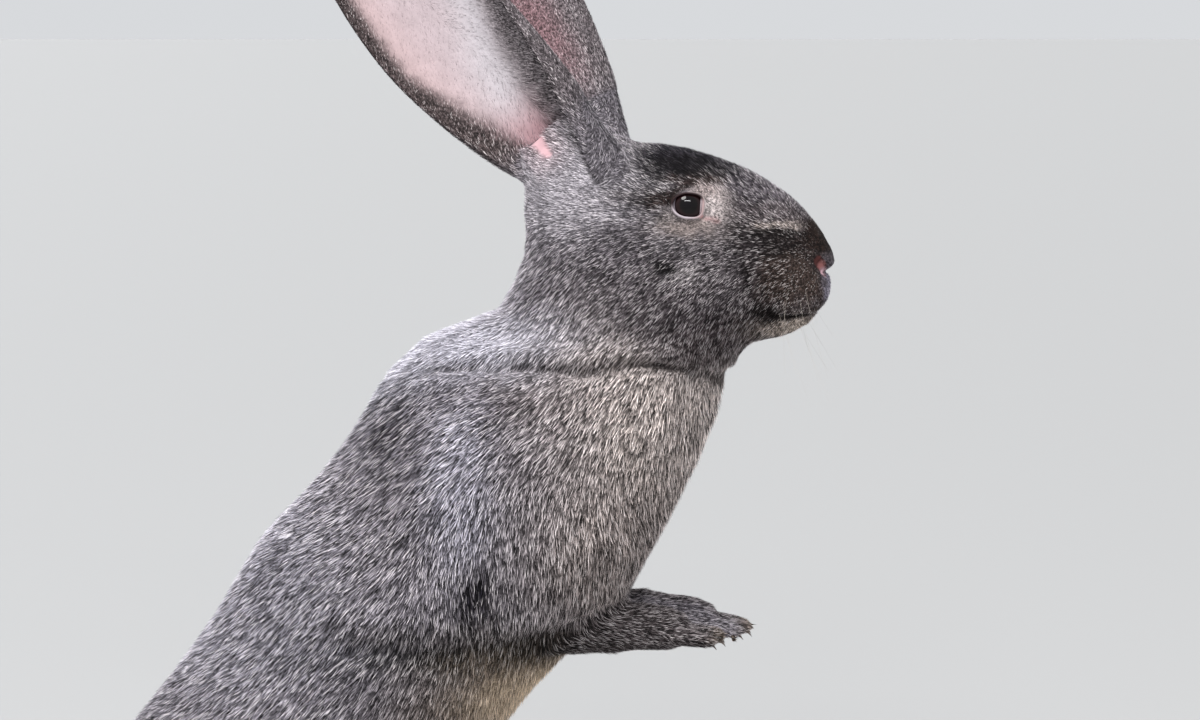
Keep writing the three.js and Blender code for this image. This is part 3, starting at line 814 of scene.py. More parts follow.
# Narrow streaks on the head: a path, how far each reaches from it, its colour and strength.
HEAD_STREAKS = [
    ([[-10, 36, -25.5], [-7, 36.4, -27], [-3.5, 36, -26.6]], 2.4, (14, 9, 11), 1.0),
    ([[-14, 35, 3], [-5, 34, 7.5], [1, 31.5, 11], [6, 27.5, 14], [15, 23, 14.5]], 2.6, (48, 35, 33), 0.9),
    ([[34, 22, -11], [45, 17.5, -10.4], [58, 10.5, -12]], 1.8, (22, 16, 16), 0.9),
    # Painted shade along the crease between the cheek and the muzzle.
    ([[28, 27, -14], [31, 27, -24], [32, 26, -34], [36, 24, -44]], 2.4, (44, 36, 38), 0.7),
    # Painted shade along the line of the mouth.
    ([[36, 20, -47], [42, 17, -50.5], [50, 15.5, -51.5], [60, 11, -49]], 2.0, (20, 13, 12), 0.95),
]
BODY_ZONES = [  # centres in the row's frame, right side folded on the left
    # The pale nape and withers: partly the coat's silvery colour, partly painted rim light from above and
    # behind.
    ((24, 16, 350), (40, 40, 22), (180, 177, 188), 0.7),
    ((-18, 20, 326), (44, 60, 28), (192, 190, 202), 0.8),
    ((96, 40, 352), (52, 40, 30), (104, 98, 106), 0.95),
    # Light above the collar fold: partly the coat's own colour, partly painted rim light.
    ((44, 46, 338), (42, 30, 14), (222, 220, 234), 0.9),
    ((50, 50, 309), (44, 26, 8), (90, 84, 92), 0.85),
    ((100, 40, 331), (40, 24, 5), (86, 78, 82), 0.6),
    ((52, 48, 311), (40, 24, 7), (110, 102, 110), 0.6),
    ((-12, 28, 292), (22, 40, 16), (104, 100, 110), 0.6),
    ((-6, 50, 297), (15, 30, 22), (82, 76, 84), 0.9),
    ((10, 60, 270), (9, 24, 26), (108, 102, 110), 0.7),
    ((34, 58, 272), (14, 26, 38), (204, 201, 217), 0.8),
    # The pale warm chest front: partly the coat's colour, partly painted warm light thrown up from below.
    ((133, 22, 292), (48, 46, 50), (252, 236, 230), 1.0),
    ((105, 40, 235), (36, 36, 34), (188, 174, 169), 0.85),
    # Painted shade in the crease at the elbow.
    ((41, 64, 216), (9, 20, 14), (40, 36, 46), 1.0),
    # Painted shadow under the overhanging fringe of the chest.
    ((46, 56, 188), (80, 40, 8.5), (13, 9, 10), 1.0),
    # Painted shade under the chest, where it overhangs the forelegs.
    ((84, 20, 184), (36, 40, 12), (52, 42, 41), 0.85),
    ((20, 66, 200), (60, 20, 4), (150, 140, 138), 0.5),
    # The pale belly: partly its own cream colour, partly painted bounce light on a side that faces down into
    # shade.
    ((66, 30, 159), (42, 50, 20), (252, 226, 196), 1.0),
    # Painted shade in the groove between the belly and the thigh.
    ((18, 30, 152), (24, 30, 22), (110, 96, 90), 0.6),
    ((-70, 20, 210), (60, 60, 60), (170, 168, 181), 0.6),
    ((-150, 0, 140), (60, 30, 60), (120, 116, 124), 0.6),
]
# Where the coat is sleek, with little ticking, in the row's frame: centre, radii and share.
SMOOTH_COAT = [
    ([22.0, 30.0, 338.0], [56, 60, 22], 0.55),
    ([82.0, 30.0, 414.0], [34, 26, 24], 0.5),
    # The belly's sleek coat also lightens it, partly as painted bounce light.
    ([70.0, 30.0, 158.0], [40, 50, 19], 0.85),
]

RAGGED = Noise(4.5, 5)
FRAY = Noise(3.0, 4)
FORE_PITCH, HIND_PITCH = 7.6, 9.4  # from toe to toe


def tint(colours, share, *screen_colour):
    """Colours with each point's share of a screen colour mixed in."""
    return mix(colours, srgb(*screen_colour), column(share))


def zone_tints(colours, points, zones):
    """Colours with every zone's tint, the zones' borders made ragged."""
    points = points + np.stack([RAGGED(points), RAGGED(points + 40), RAGGED(points + 80)], 1) * 2.5
    for centre, radii, colour, strength in zones:
        colours = tint(colours, np.minimum(bump_at(points, centre, radii) * 1.6, 1) * strength, *colour)
    return colours


def ear_front(s):
    """How far across an ear's gutter the bare skin reaches, from its rear to its front margin."""
    return np.interp(s, *np.transpose([
        (0.05, -0.45), (0.10, -0.16), (0.14, -0.02), (0.19, 0.0), (0.25, 0.06), (0.32, 0.14),
        (0.37, 0.18), (0.44, 0.30), (0.52, 0.45), (0.62, 0.6), (0.8, 0.75), (1.0, 0.8)]))


def ear_rear(s):
    """The same for where the bare skin begins behind its rear margin's fur."""
    return np.interp(s, *np.transpose([
        (0.10, -0.34), (0.19, -0.38), (0.26, -0.44), (0.37, -0.53), (0.48, -0.68), (1.0, -0.72)]))


class Animal:
    """Everything known about each point of the finished skin."""

    def __init__(self, skin):
        mesh = skin.data
        self.points = read_points(mesh)
        self.normals = read_normals(mesh)
        self.web = Web(mesh)
        self.owners = owner_of(self.points)
        self.head = to_head(self.points)
        self.body_sided, self.head_sided = folded(self.points), folded(self.head)
        self.place_ears()
        self.lid_gap = eye_distance(self.head)
        self.flows = self.lie_of_coat()
        self.bare = self.bareness()
        self.pelt = self.markings_and_painted_light()
        self.calm = self.calmness()
        self.haze = self.web.spread(self.pelt, 50)

    def calmness(self):
        """1 where the coat has no ticking."""
        patch = 1.3 * bump_at(self.head_sided, EYE_PATCH, [9, 12, 10.5])
        patch = np.minimum(patch + 0.8 * bump_at(self.head_sided, UNDER_EYE, [14, 8, 4.5]), 1)
        calm = np.maximum(ramp(0.3, 0.8, self.bare), patch)
        calm = np.maximum(calm, 0.75 * self.flush * self.ear * (self.ear_outside > 0))
        for centre, radii, share in SMOOTH_COAT:
            calm = np.maximum(calm, share * bump_at(self.body_sided, centre, radii))
        return calm

    def place_ears(self):
        """Where each point lies on an ear, and 1 in ear if it does."""
        near = np.flatnonzero(self.head[:, 2] > 8)
        index, gap = EAR_MAP.find(self.points[near])
        count = len(self.points)
        self.ear, self.ear_s, self.ear_across, self.ear_outside = np.zeros((4, count))
        self.ear_heading, self.ear_sideways = np.zeros((2, count, 3))
        self.ear[near] = (gap < 0.6) & (EAR_MAP.rows[index] > 0)
        for values, known in ((self.ear_s, EAR_MAP.rows), (self.ear_across, EAR_MAP.columns),
                              (self.ear_outside, EAR_MAP.outside), (self.ear_heading, EAR_MAP.headings),
                              (self.ear_sideways, EAR_MAP.sideways)):
            values[near] = known[index]

    def lie_of_coat(self):
        """Which way the coat lies, as a unit vector along the skin."""
        points, head = self.points, self.head
        front = ramp(-40, 60, points[:, 0] - points[:, 2] / 1.38 + 90)
        flows = mix(np.array([-0.62, 0, -0.78]), np.array([-0.22, 0, -0.97]), column(front))
        from_nose = head - NOSE_TIP
        falling = ramp(25, 90, np.linalg.norm(from_nose, axis=1)) * ramp(12, -40, head[:, 2])
        on_head = unit(unit(from_nose) + np.array([0, 0, -0.9]) * column(falling)) @ HEAD_AXES
        flows = mix(flows, on_head, column(among(self.owners, "head")))
        for start, way in LIE.items():
            flows = mix(flows, np.array(way), column(among(self.owners, start)))
        flows = self.web.spread(self.flat(flows), 24)
        inward = -self.ear_sideways * column(np.sign(self.ear_across) * (self.ear_outside < 0))
        flows = np.where(column(self.ear) > 0, self.ear_heading + inward * 0.8, flows)
        return unit(self.flat(self.web.spread(flows, 2)))

    def flat(self, vectors):
        """Vectors without their share across the skin."""
        return vectors - self.normals * column(dot(vectors, self.normals))

    def bareness(self):
        """1 where the skin shows: in the ears' gutters, on the lids' edges and in the nostrils."""
        s, across, fray = self.ear_s, self.ear_across, FRAY(self.points)
        bare = self.ear * (self.ear_outside < 0) * ramp(0.15, -0.13, across - ear_front(s) + 0.03 * fray)
        bare *= ramp(-0.14, 0.14, across - ear_rear(s) + 0.03 * fray) * ramp(0.04, 0.09, s)
        bare *= ramp(0.985, 0.93, s)
        bare = np.maximum(bare, ramp(1.5, 0.8, self.lid_gap))
        for path, reach, ragged in ((NOSTRIL, 3.2, 0.0), (EYE_CORNER, 2.2, 0.0), (CONCHA_END, 6.6, 1.4)):
            gap, along = distance_to(self.head_sided, path)
            bare = np.maximum(bare, ramp(reach * (1 - 0.5 * along), reach * 0.4, gap + ragged * fray))
        return np.clip(bare, 0, 1)

    def markings_and_painted_light(self):
        """The colour of the coat at every point: its markings, with painted shade and painted light in
        places.
        """
        points, up = self.points, self.normals[:, 2]
        colours = zone_tints(np.tile(BASE, (len(points), 1)), self.body_sided, BODY_ZONES)
        on_head = zone_tints(colours, self.head_sided, HEAD_ZONES)
        for path, reach, colour, strength in HEAD_STREAKS:
            gap, _ = distance_to(self.head_sided, path)
            on_head = tint(on_head, ramp(1.5 * reach, 0.5 * reach, gap) * strength, *colour)
        colours = mix(colours, on_head, column(self.web.spread(among(self.owners, "head"), 10)))
        colours = self.foot_colours(colours)
        colours = tint(colours, ramp(0.2, -0.7, up) * ramp(150, 90, points[:, 2]) * 0.8, 176, 160, 146)
        colours = self.lid_and_nostril(colours)
        # Painted shade in the collar fold, where the neck's loose skin hangs over the chest.
        fold = np.exp(-((above_collar(points) + 1.4) / 1.9) ** 2) * ramp(4, 30, points[:, 0])
        colours = tint(colours, fold * 0.85, 40, 33, 37)
        colours = tint(colours, among(self.owners, "tail") * ramp(0.2, -0.4, up), 200, 194, 188)
        return self.ear_colours(colours)

    def foot_colours(self, colours):
        """The forelegs and feet: the forelegs darker outside than inside, as painted shade and painted
        light, painted shade in the armpits, and all four feet darkened between the toes as painted shade.
        """
        forelegs = among(self.owners, "fore")
        hind_feet = among(self.owners, "hind_foot")
        sideways = self.body_sided[:, 1]
        colours = tint(colours, self.web.spread(forelegs, 8) * 0.8, 128, 118, 119)
        # Painted shade on the forelegs' outer sides and painted light on their inner sides.
        colours = tint(colours, forelegs * ramp(14, 26, sideways) * 0.7, 78, 70, 71)
        colours = tint(colours, forelegs * ramp(17, 9, sideways) * 0.7, 168, 162, 172)
        colours = tint(colours, self.toe_share("forepaw_", 18) * 0.6, 196, 172, 148)
        # Painted shade in the armpit.
        colours = tint(colours, 0.9 * bump_at(self.body_sided, ARMPIT_SHADE, [22, 34, 9]), 15, 11, 12)
        # Painted shade in the clefts between the toes.
        colours = colours * column(mix(1, 0.3, self.toe_cleft_shade()))
        return tint(colours, self.web.spread(hind_feet, 8) * 0.6, 118, 110, 110)

    def toe_share(self, start, reach):
        """Rises from 0 to 1 along the last stretch of a pair of feet."""
        share = np.zeros(len(self.points))
        for side in SIDES:
            end = box_of(start + side)[1][0]
            share += ramp(end - reach, end - 4, self.points[:, 0]) * among(self.owners, start + side)
        return share

    def toe_cleft_shade(self):
        """1 along the clefts between the toes of the forefeet and hind feet, where painted shade darkens
        them.
        """
        cleft_shade = np.zeros(len(self.points))
        for start, pitch, reach in (("forepaw_", FORE_PITCH, 26.0), ("hind_foot_", HIND_PITCH, 34.0)):
            for side in SIDES:
                low, high = box_of(start + side)
                across = (self.points[:, 1] - (low[1] + high[1]) / 2) / pitch
                cleft = np.exp(-((across - np.round(across)) / 0.2) ** 2) * (np.abs(across) < 1.4)
                cleft *= ramp(high[0] - reach, high[0] - reach + 10, self.points[:, 0])
                cleft_shade += cleft * among(self.owners, start + side)
        return cleft_shade

    def lid_and_nostril(self, colours):
        """The bare edges of the lids, dark above and pale pink below, and the other bare places. The dark
        above is partly the lids' own colour and partly painted shade under the brow; the nostrils' tops are
        darkened as painted shade under the nose flaps.
        """
        gap, _ = distance_to(self.head_sided, EYE_CORNER)
        colours = tint(colours, ramp(2.0, 0.9, gap), 186, 132, 132)
        ahead, _, above = (self.head - EYE_AT).T
        lower = mix(srgb(168, 158, 164), srgb(166, 142, 142), column(ramp(-2, 8, ahead)))
        # The upper rim is darker, partly the lid's own colour and partly painted shade under the brow.
        rim = tint(lower, ramp(-1.0, 3.5, above - 0.25 * ahead), 40, 28, 30)
        colours = mix(colours, rim, column(ramp(1.3, 0.7, self.lid_gap)))
        gap, along = distance_to(self.head_sided, CONCHA_END)
        colours = tint(colours, ramp(17, 5, gap + 2 * FRAY(self.points)) * 0.55, 150, 128, 134)
        colours = tint(colours, ramp(8.0 - 4 * along, 4.5 - 3 * along, gap), 184, 150, 155)
        gap, along = distance_to(self.head_sided, NOSTRIL)
        # The nostril is darker at its top, under the nose flap, as painted shade.
        pink = mix(srgb(84, 48, 46), srgb(150, 100, 98), column(ramp(0.1, 0.5, along)))
        pink = tint(pink, ramp(0.6, 1.0, along), 204, 170, 178)
        return mix(colours, pink, column(ramp(3.3, 2.3, gap)))

    def ear_colours(self, colours):
        """The ears' backs, margins and hollows over the other colours."""
        s, across = self.ear_s, self.ear_across
        back = np.tile(srgb(140, 130, 134), (len(s), 1))
        self.flush = ramp(0.42, 0.12, across) * ramp(-0.7, -0.2, across)
        self.flush *= ramp(0.06, 0.34, s) * ramp(0.8, 0.4, s)
        back = tint(back, self.flush * 0.8, 158, 120, 126)
        back = tint(back, ramp(-0.72, -0.95, across) * 0.7, 74, 62, 62)
        white = np.exp(-((across - ear_front(s) + 0.16) / 0.24) ** 2) * ramp(0.12, 0.3, s)
        inner = tint(np.tile(srgb(214, 196, 200), (len(s), 1)), white, 222, 214, 219)
        inner = tint(inner, ramp(-0.1, -0.66, across) * 0.75, 206, 178, 178)
        inner = tint(inner, ramp(0.3, 0.12, s) * (1 - 0.5 * white), 206, 164, 170)
        margin = mix(srgb(162, 152, 156), srgb(106, 94, 94), column(ramp(0, -0.5, across)))
        inner = mix(inner, margin, column((1 - self.bare) * (self.ear_outside < 0)))
        side = np.where(column(self.ear_outside) > 0, back, inner)
        return mix(colours, side, column(self.ear * ramp(0.02, 0.2, s + 0.1 * self.bare)))


# ---- Materials

class Shader:
    """A node material round one Principled shader, with its sockets' names and values."""

    def __init__(self, name, **sockets):
        self.material = bpy.data.materials.new(name)
        self.material.use_nodes = True
        self.tree = self.material.node_tree
        self.surface = self.tree.nodes["Principled BSDF"]
        self.fill(self.surface, {key.replace("_", " "): value for key, value in sockets.items()})

    def fill(self, node, sockets):
        """Gives a node's inputs their values or links."""
        for key, value in sockets.items():
            if isinstance(value, bpy.types.NodeSocket):
                self.tree.links.new(value, node.inputs[key])
            else:
                node.inputs[key].default_value = value

    def node(self, kind, sockets, **settings):
        made = self.tree.nodes.new(kind)
        for key, value in settings.items():
            setattr(made, key, value)
        self.fill(made, sockets)
        return made

    def paint(self, colour):
        self.fill(self.surface, {"Base Color": colour})
        return self.material

    def attribute(self, name, output="Fac"):
        return self.node("ShaderNodeAttribute", {}, attribute_name=name).outputs[output]

    def ramp(self, factor, stops):
        made = self.node("ShaderNodeValToRGB", {"Fac": factor})
        elements = made.color_ramp.elements
        while len(elements) < len(stops):
            elements.new(0.5)
        for element, (place, colour) in zip(elements, stops):
            element.position = place
            element.color = (*np.broadcast_to(colour, 3), 1)
        return made.outputs["Color"]

    def blend(self, how, share, first, second):
        sockets = {"Factor": share, 6: first, 7: second}
        made = self.node("ShaderNodeMix", sockets, data_type="RGBA", blend_type=how)
        return made.outputs[2]

    def noise(self, scale, detail=3.0, stretch=None):
        place = self.node("ShaderNodeTexCoord", {}).outputs["Object"]
        if stretch:
            place = self.node("ShaderNodeMapping", {"Vector": place, "Scale": stretch}).outputs["Vector"]
        sockets = {"Vector": place, "Scale": scale, "Detail": detail}
        return self.node("ShaderNodeTexNoise", sockets).outputs["Fac"]

    def bump(self, height, strength, distance):
        sockets = {"Height": height, "Strength": strength, "Distance": distance * MM}
        self.fill(self.surface, {"Normal": self.node("ShaderNodeBump", sockets).outputs["Normal"]})


def coat_material():
    shader = Shader("rabbit_coat", Roughness=0.6, Specular_IOR_Level=0.08,
                    Sheen_Weight=0.01, Sheen_Roughness=0.5)
    bands = [(0.0, 0.34), (0.35, 0.6), (0.62, 1.12), (0.88, 1.2), (1.0, 0.75)]
    along = shader.ramp(shader.attribute("along"), bands)
    return shader.paint(shader.blend("MULTIPLY", 1.0, shader.attribute("pelt", "Color"), along))


def skin_material():
    shader = Shader("rabbit_skin", Roughness=0.7, Specular_IOR_Level=0.12)
    fine = shader.noise(900.0)
    dark = shader.ramp(fine, [(0.35, 0.12), (0.5, 0.32), (0.65, 0.8)])
    fleck = shader.ramp(shader.noise(140.0), [(0.3, 0.9), (0.7, 1.06)])
    pelt = shader.attribute("pelt", "Color")
    under = shader.blend("MULTIPLY", 1.0, pelt, dark)
    flesh = shader.blend("MULTIPLY", 1.0, pelt, fleck)
    shader.bump(fine, 0.35, 0.3)
    return shader.paint(shader.blend("MIX", shader.attribute("bare"), under, flesh))


# ---- The coat

COAT_PIECES = {  # the nodes whose tufts make one piece, and its side of the animal, if only one
    "coat_head_right": ("head", -1),
    "coat_head_left": ("head", 1),
    "coat_neck": ("neck", 0),
    "coat_trunk_right": ("trunk", -1),
    "coat_trunk_left": ("trunk", 1),
    "coat_haunches": ("haunch", 0),
    "coat_ear_right": ("ear_right", 0),
    "coat_ear_left": ("ear_left", 0),
    "coat_upper_arms": ("upper_arm", 0),
    "coat_forelegs": ("fore", 0),
    "coat_hind_feet": ("hind_foot", 0),
    "coat_tail": ("tail", 0),
}
MOST_TUFTS = 49900
SUNK = 0.35  # how deep a tuft's root lies in the skin
PATCH = 0.003  # the size of a tuft's place in the OFBake map


def plan_coat(animal):
    """Sizes and crowding of the tufts at every point of the skin."""
    keys = ("length", "width", "depth", "crowd")
    plan = {key: animal.web.spread(coat_values(animal.owners, key), 8) for key in keys}
    muzzle = ramp(30, 62, animal.head[:, 0]) * among(animal.owners, "head")
    nose = bump_at(animal.head_sided, [67, 3, -20], [9, 9, 10])
    short = 1 - 0.5 * muzzle - 0.3 * np.minimum(nose * 1.5, 1)
    short *= mix(0.3, 1, ramp(0.6, 9, animal.lid_gap))
    short *= 1 - 0.35 * animal.ear * ramp(0.1, 0.4, animal.ear_s)
    short *= 1 - 0.5 * bump_at(animal.head_sided, EYE_PATCH, [9, 12, 10])
    gutter = animal.ear * (animal.ear_outside < 0)
    plan["length"] *= short * (1 + 0.6 * gutter * ramp(0.0, 0.3, animal.bare))
    plan["length"] *= 1 - 0.45 * animal.toe_share("forepaw_", 22) - 0.3 * animal.toe_share("hind_foot_", 26)
    plan["width"] *= np.sqrt(short)
    plan["depth"] *= short
    plan["crowd"] *= 1 + 0.35 * muzzle
    plan["crowd"] *= 1 - ramp(0.1, 0.9, animal.bare) * np.where(gutter > 0, 0.7, 1)
    plan["crowd"] *= ramp(0.5, 1.2, animal.lid_gap)
    plan["crowd"] *= np.where((animal.ear_s < 0) & (animal.ear > 0), 0, 1)
    return plan


def sample(triangles, points, weights, count):
    """Random places over the triangles: the triangle of each and its corners' shares."""
    a, b, c = points[triangles].transpose(1, 0, 2)
    area = np.linalg.norm(np.cross(b - a, c - a), axis=1) / 2
    chance = np.cumsum(area * weights[triangles].mean(1))
    total = chance[-1]
    count = min(count, int(total))
    picked = np.searchsorted(chance, (np.arange(count) + rng.random(count)) / count * total)
    picked = np.minimum(picked, len(triangles) - 1)
    u, v = rng.random((2, count))
    flip = u + v > 1
    u, v = np.where(flip, 1 - u, u), np.where(flip, 1 - v, v)
    return triangles[picked], np.stack([1 - u - v, u, v], 1)


def evenly_spread(around, along):
    """Places in the unit square that keep the order of the two measures and never crowd."""
    count = len(along)
    strips = int(math.sqrt(count)) + 1
    order = np.argsort(along, kind="stable")
    strip = np.zeros(count, int)
    strip[order] = np.arange(count) * strips // count
    u = np.zeros(count)
    for k in range(strips):
        inside = np.flatnonzero(strip == k)
        ranked = inside[np.argsort(around[inside], kind="stable")]
        u[ranked] = (np.arange(len(ranked)) + 0.5) / max(len(ranked), 1)
    return u, (strip + 0.5) / strips


def unwrapped(roots):
    """Each root's place on the skin unrolled round the long axis of its piece."""
    centre = roots.mean(0)
    _, _, axes = np.linalg.svd(roots[::7] - centre, full_matrices=False)
    local = (roots - centre) @ axes.T
    return evenly_spread(np.arctan2(local[:, 2], local[:, 1]), local[:, 0])


TUFT_FACES = np.array([[0, 1, 2], [1, 0, 3], [2, 1, 3], [0, 2, 3]])
TICK = srgb(226, 220, 220)
SWIRL = Noise(26.0, 1)
CLUMP = Noise(5.0, 2)
FLECK = Noise(2.2, 3)


def ticked(pelt, roots, calm, width):
    """Each tuft's own colour: dark, plain or with a pale tick, whatever the marking it stands in."""
    fleck = mix(0.20, 0.11, ramp(0.45, 0.52, width))
    tone = 0.47 + 0.29 * rng.normal(0, 1, len(roots)) + fleck * FLECK(roots) + 0.06 * CLUMP(roots + 90)
    shade = mix(np.interp(tone, [0, 0.3, 0.5, 0.7, 1], [0.03, 0.11, 0.52, 1.62, 2.6]), 0.95, calm)
    pale = ramp(0.62, 0.9, tone) * 0.6 * ramp(0.0, 0.05, pelt.mean(1)) * (1 - calm)
    return mix(pelt * column(shade), TICK, column(pale))


def at_roots(values, corners, shares):
    """Values at the tufts' roots, each mixed from the corners of its triangle."""
    if values.ndim == 1:
        return dot(values[corners], shares)
    return (values[corners] * shares[..., None]).sum(1)


def faces_of(piece, animal, triangles):
    """The skin's triangles that a piece of the coat grows from."""
    start, side = COAT_PIECES[piece]
    chosen = among(animal.owners, start)[triangles].mean(1) > 0.5
    if side:
        places = animal.head if start == "head" else animal.points
        chosen &= np.sign(places[triangles][:, :, 1].mean(1)) == side
    return triangles[chosen]


def tuft_points(roots, normals, flows, length, width, depth):
    """The corners of every tuft, two beside its root, one above it and the tip, and its lie."""
    count = len(roots)
    swirl = 0.14 * SWIRL(roots) + 0.06 * CLUMP(roots) + rng.normal(0, 0.13, count)
    flows = unit(flows + np.cross(normals, flows) * column(swirl))
    sideways = unit(np.cross(normals, flows))
    length = length * rng.uniform(0.72, 1.28, count)
    height = SUNK + depth * rng.uniform(0.55, 1.12, count) * (1 + 0.22 * CLUMP(roots + 50))
    lift = column(np.arcsin(np.clip(height / length, 0.02, 0.8)))
    width = column(width * rng.uniform(0.75, 1.25, count))
    root = roots - normals * SUNK
    tip = root + (flows * np.cos(lift) + normals * np.sin(lift)) * column(length)
    tip[:, 2] = np.maximum(tip[:, 2], 0.25)
    corners = [root + sideways * width / 2, root - sideways * width / 2, root + normals * width * 0.5, tip]
    return np.stack(corners, 1), flows


def map_tufts(mesh, roots, faces):
    """Gives each tuft its own place in the OFBake map."""
    half = PATCH / 2
    outline = np.array([[-half, -half], [half, -half], [0, -0.6 * half], [0, half]])
    corners = np.stack(unwrapped(roots), 1)[:, None] * (1 - 2 * PATCH) + PATCH + outline
    at_loops = corners.reshape(-1, 2)[faces.ravel()]
    mesh.uv_layers.new(name="OFBake").data.foreach_set("uv", at_loops.astype(np.float32).ravel())


def grow(name, animal, plan, triangles, material):
    """Grows one piece of the coat."""
    corners, shares = sample(faces_of(name, animal, triangles), animal.points, plan["crowd"], MOST_TUFTS)
    roots, normals, flows, pelt, haze, calm, length, width, depth = (
        at_roots(values, corners, shares)
        for values in (animal.points, animal.normals, animal.flows, animal.pelt, animal.haze, animal.calm,
                       plan["length"], plan["width"], plan["depth"])
    )
    count = len(roots)
    pelt = mix(pelt, haze, column(rng.random(count)) ** 4)
    normals = unit(normals)
    points, flows = tuft_points(roots, normals, unit(flows), length, width, depth)
    faces = (np.arange(count)[:, None, None] * 4 + TUFT_FACES).reshape(-1, 3)
    mesh = mesh_of(name, points.reshape(-1, 3), faces)
    colour = ticked(pelt, roots, calm, width)
    keep_value(mesh, "along", np.tile([0.0, 0.0, 0.0, 1.0], count))
    keep_colour(mesh, "pelt", np.repeat(colour, 4, axis=0))
    lean = unit(normals + rng.normal(0, 0.22, (count, 3)) + flows * 0.12)
    mesh.normals_split_custom_set_from_vertices(np.repeat(lean, 4, axis=0))
    map_tufts(mesh, roots, faces)
    finished(name, mesh, material)


# ---- Eyes, claws and whiskers

def eye_material():
    shader = Shader("rabbit_eye", Roughness=0.3, Specular_IOR_Level=0.0,
                    Coat_Weight=1.0, Coat_Roughness=0.02, Coat_IOR=1.32)
    pupil, iris, iris_edge = (0.003, 0.002, 0.002), (0.010, 0.0035, 0.004), (0.004, 0.002, 0.003)
    colour = shader.ramp(shader.attribute("ring"), [
        (0.0, (0.002, 0.001, 0.002)), (0.40, pupil), (0.46, iris), (0.62, iris), (0.67, iris_edge),
        (0.70, (0.20, 0.17, 0.20)), (0.80, (0.52, 0.44, 0.46)), (1.0, (0.50, 0.40, 0.42))])
    fibre = shader.ramp(shader.noise(700.0, 2.0), [(0.35, 0.6), (0.65, 1.2)])
    return shader.paint(shader.blend("MULTIPLY", 0.5, colour, fibre))


IRIS_SHIFT = np.array([0.55, 0.35])  # of the iris from the middle of the opening


def build_eye(name, material):
    """An eyeball with its iris and, in its front corner, the pale third lid."""
    middle, gaze, ahead, upward = eye_frame(SIDES[name])
    mesh = ball("eye_" + name, name, EYE_RADIUS - 0.2 + 0.3 * np.exp(-(EYE_POLAR / 0.55) ** 4))
    smooth(mesh)
    local = to_head(read_points(mesh)) - middle
    outer = dot(local, gaze) > 0
    flat = np.stack([dot(local, ahead), dot(local, upward)], 1)
    ring = np.where(outer, np.linalg.norm(flat - IRIS_SHIFT, axis=1), 12) / 10
    third_lid = ramp(5.7, 6.8, flat[:, 0] - 0.012 * (flat[:, 1] + 1.5) ** 2) * outer
    keep_value(mesh, "ring", mix(ring, 1.2 - 0.35 * ramp(6.5, 6.7, flat[:, 0]), third_lid))
    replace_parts(finished("eyeball_" + name, mesh, material), "eye_" + name)


def strand(path, widths, around):
    """Rings of points along a path in millimetres."""
    heading = unit(np.gradient(path, axis=0))
    across = unit(np.cross(heading, [0.05, 0.2, 1.0]))
    upward = np.cross(heading, across)
    turn = around_circle(around)
    circle = np.cos(turn)[:, None, None] * across + np.sin(turn)[:, None, None] * upward
    return (path + circle * (np.array(widths) / 2)[:, None]).transpose(1, 0, 2).reshape(-1, 3)


def joined(name, meshes, material):
    """One piece of the looks made of several small meshes."""
    mesh = mesh_from(shape_from(*meshes), name)
    smooth(mesh)
    finished(name, mesh, material)


def whisker_material():
    shader = Shader("rabbit_whisker", Roughness=0.45)
    horn = [(0.3, (0.24, 0.21, 0.18)), (0.7, (0.44, 0.40, 0.36))]
    return shader.paint(shader.ramp(shader.noise(60.0, 1.0), horn))


WHISKER_ROWS, WHISKERS_IN_ROW = 3, 2
WHISKER_RINGS, WHISKER_AROUND = 9, 4


def whisker(face_tree, side, row, place):
    """A hanging hair that starts where a line from the side meets the muzzle."""
    start = np.array([59 - place * 8.0 - row * 2.5, 12 + place * 1.9, -38 - row * 6.0])
    start = start * [1, side, 1] + [0, side * 30, 0]
    hit = face_tree.ray_cast(Vector(from_head(start) * MM), Vector(-side * LEFT))[0]
    if hit is None:
        return []
    reach = rng.uniform(26, 52) * (1 - 0.12 * abs(row - 1.5))
    way = unit(np.array([rng.uniform(-0.1, 0.35), side * rng.uniform(0.45, 0.8), rng.uniform(-0.75, -0.25)]))
    t = column(np.linspace(0, 1, WHISKER_RINGS))
    sag = np.array([7.0, side * 3.0, -14.0]) * (reach / 50)
    path = from_head(to_head(np.array(hit) / MM) + way * reach * t + sag * t ** 2)
    rings = strand(path, mix(0.10, 0.04, t[:, 0]), WHISKER_AROUND)
    return [closed_tube("whisker", rings, WHISKER_RINGS, WHISKER_AROUND)]


def build_whiskers(face_tree):
    meshes = []
    for side in SIDES.values():
        for row, place in np.ndindex(WHISKER_ROWS, WHISKERS_IN_ROW):
            meshes += whisker(face_tree, side, row, place)
    joined("whiskers", meshes, whisker_material())


def claw_material():
    shader = Shader("rabbit_claw", Roughness=0.38, Specular_IOR_Level=0.5)
    streak = shader.noise(350.0, 3.0, (1.0, 4.0, 4.0))
    return shader.paint(shader.ramp(streak, [(0.3, (0.045, 0.032, 0.026)), (0.7, (0.16, 0.12, 0.10))]))


TOES = (-1.5, -0.5, 0.5, 1.5)
HIND_MIDDLE = 56.0


def foot_claws(front, middle, height, pitch, curve, length, width):
    """A claw for each toe of a foot, the middle toes' a little ahead of the others."""
    return [
        claw([front - (toe ** 2 - 0.25) * curve, middle + toe * pitch, height], length, width)
        for toe in TOES
    ]


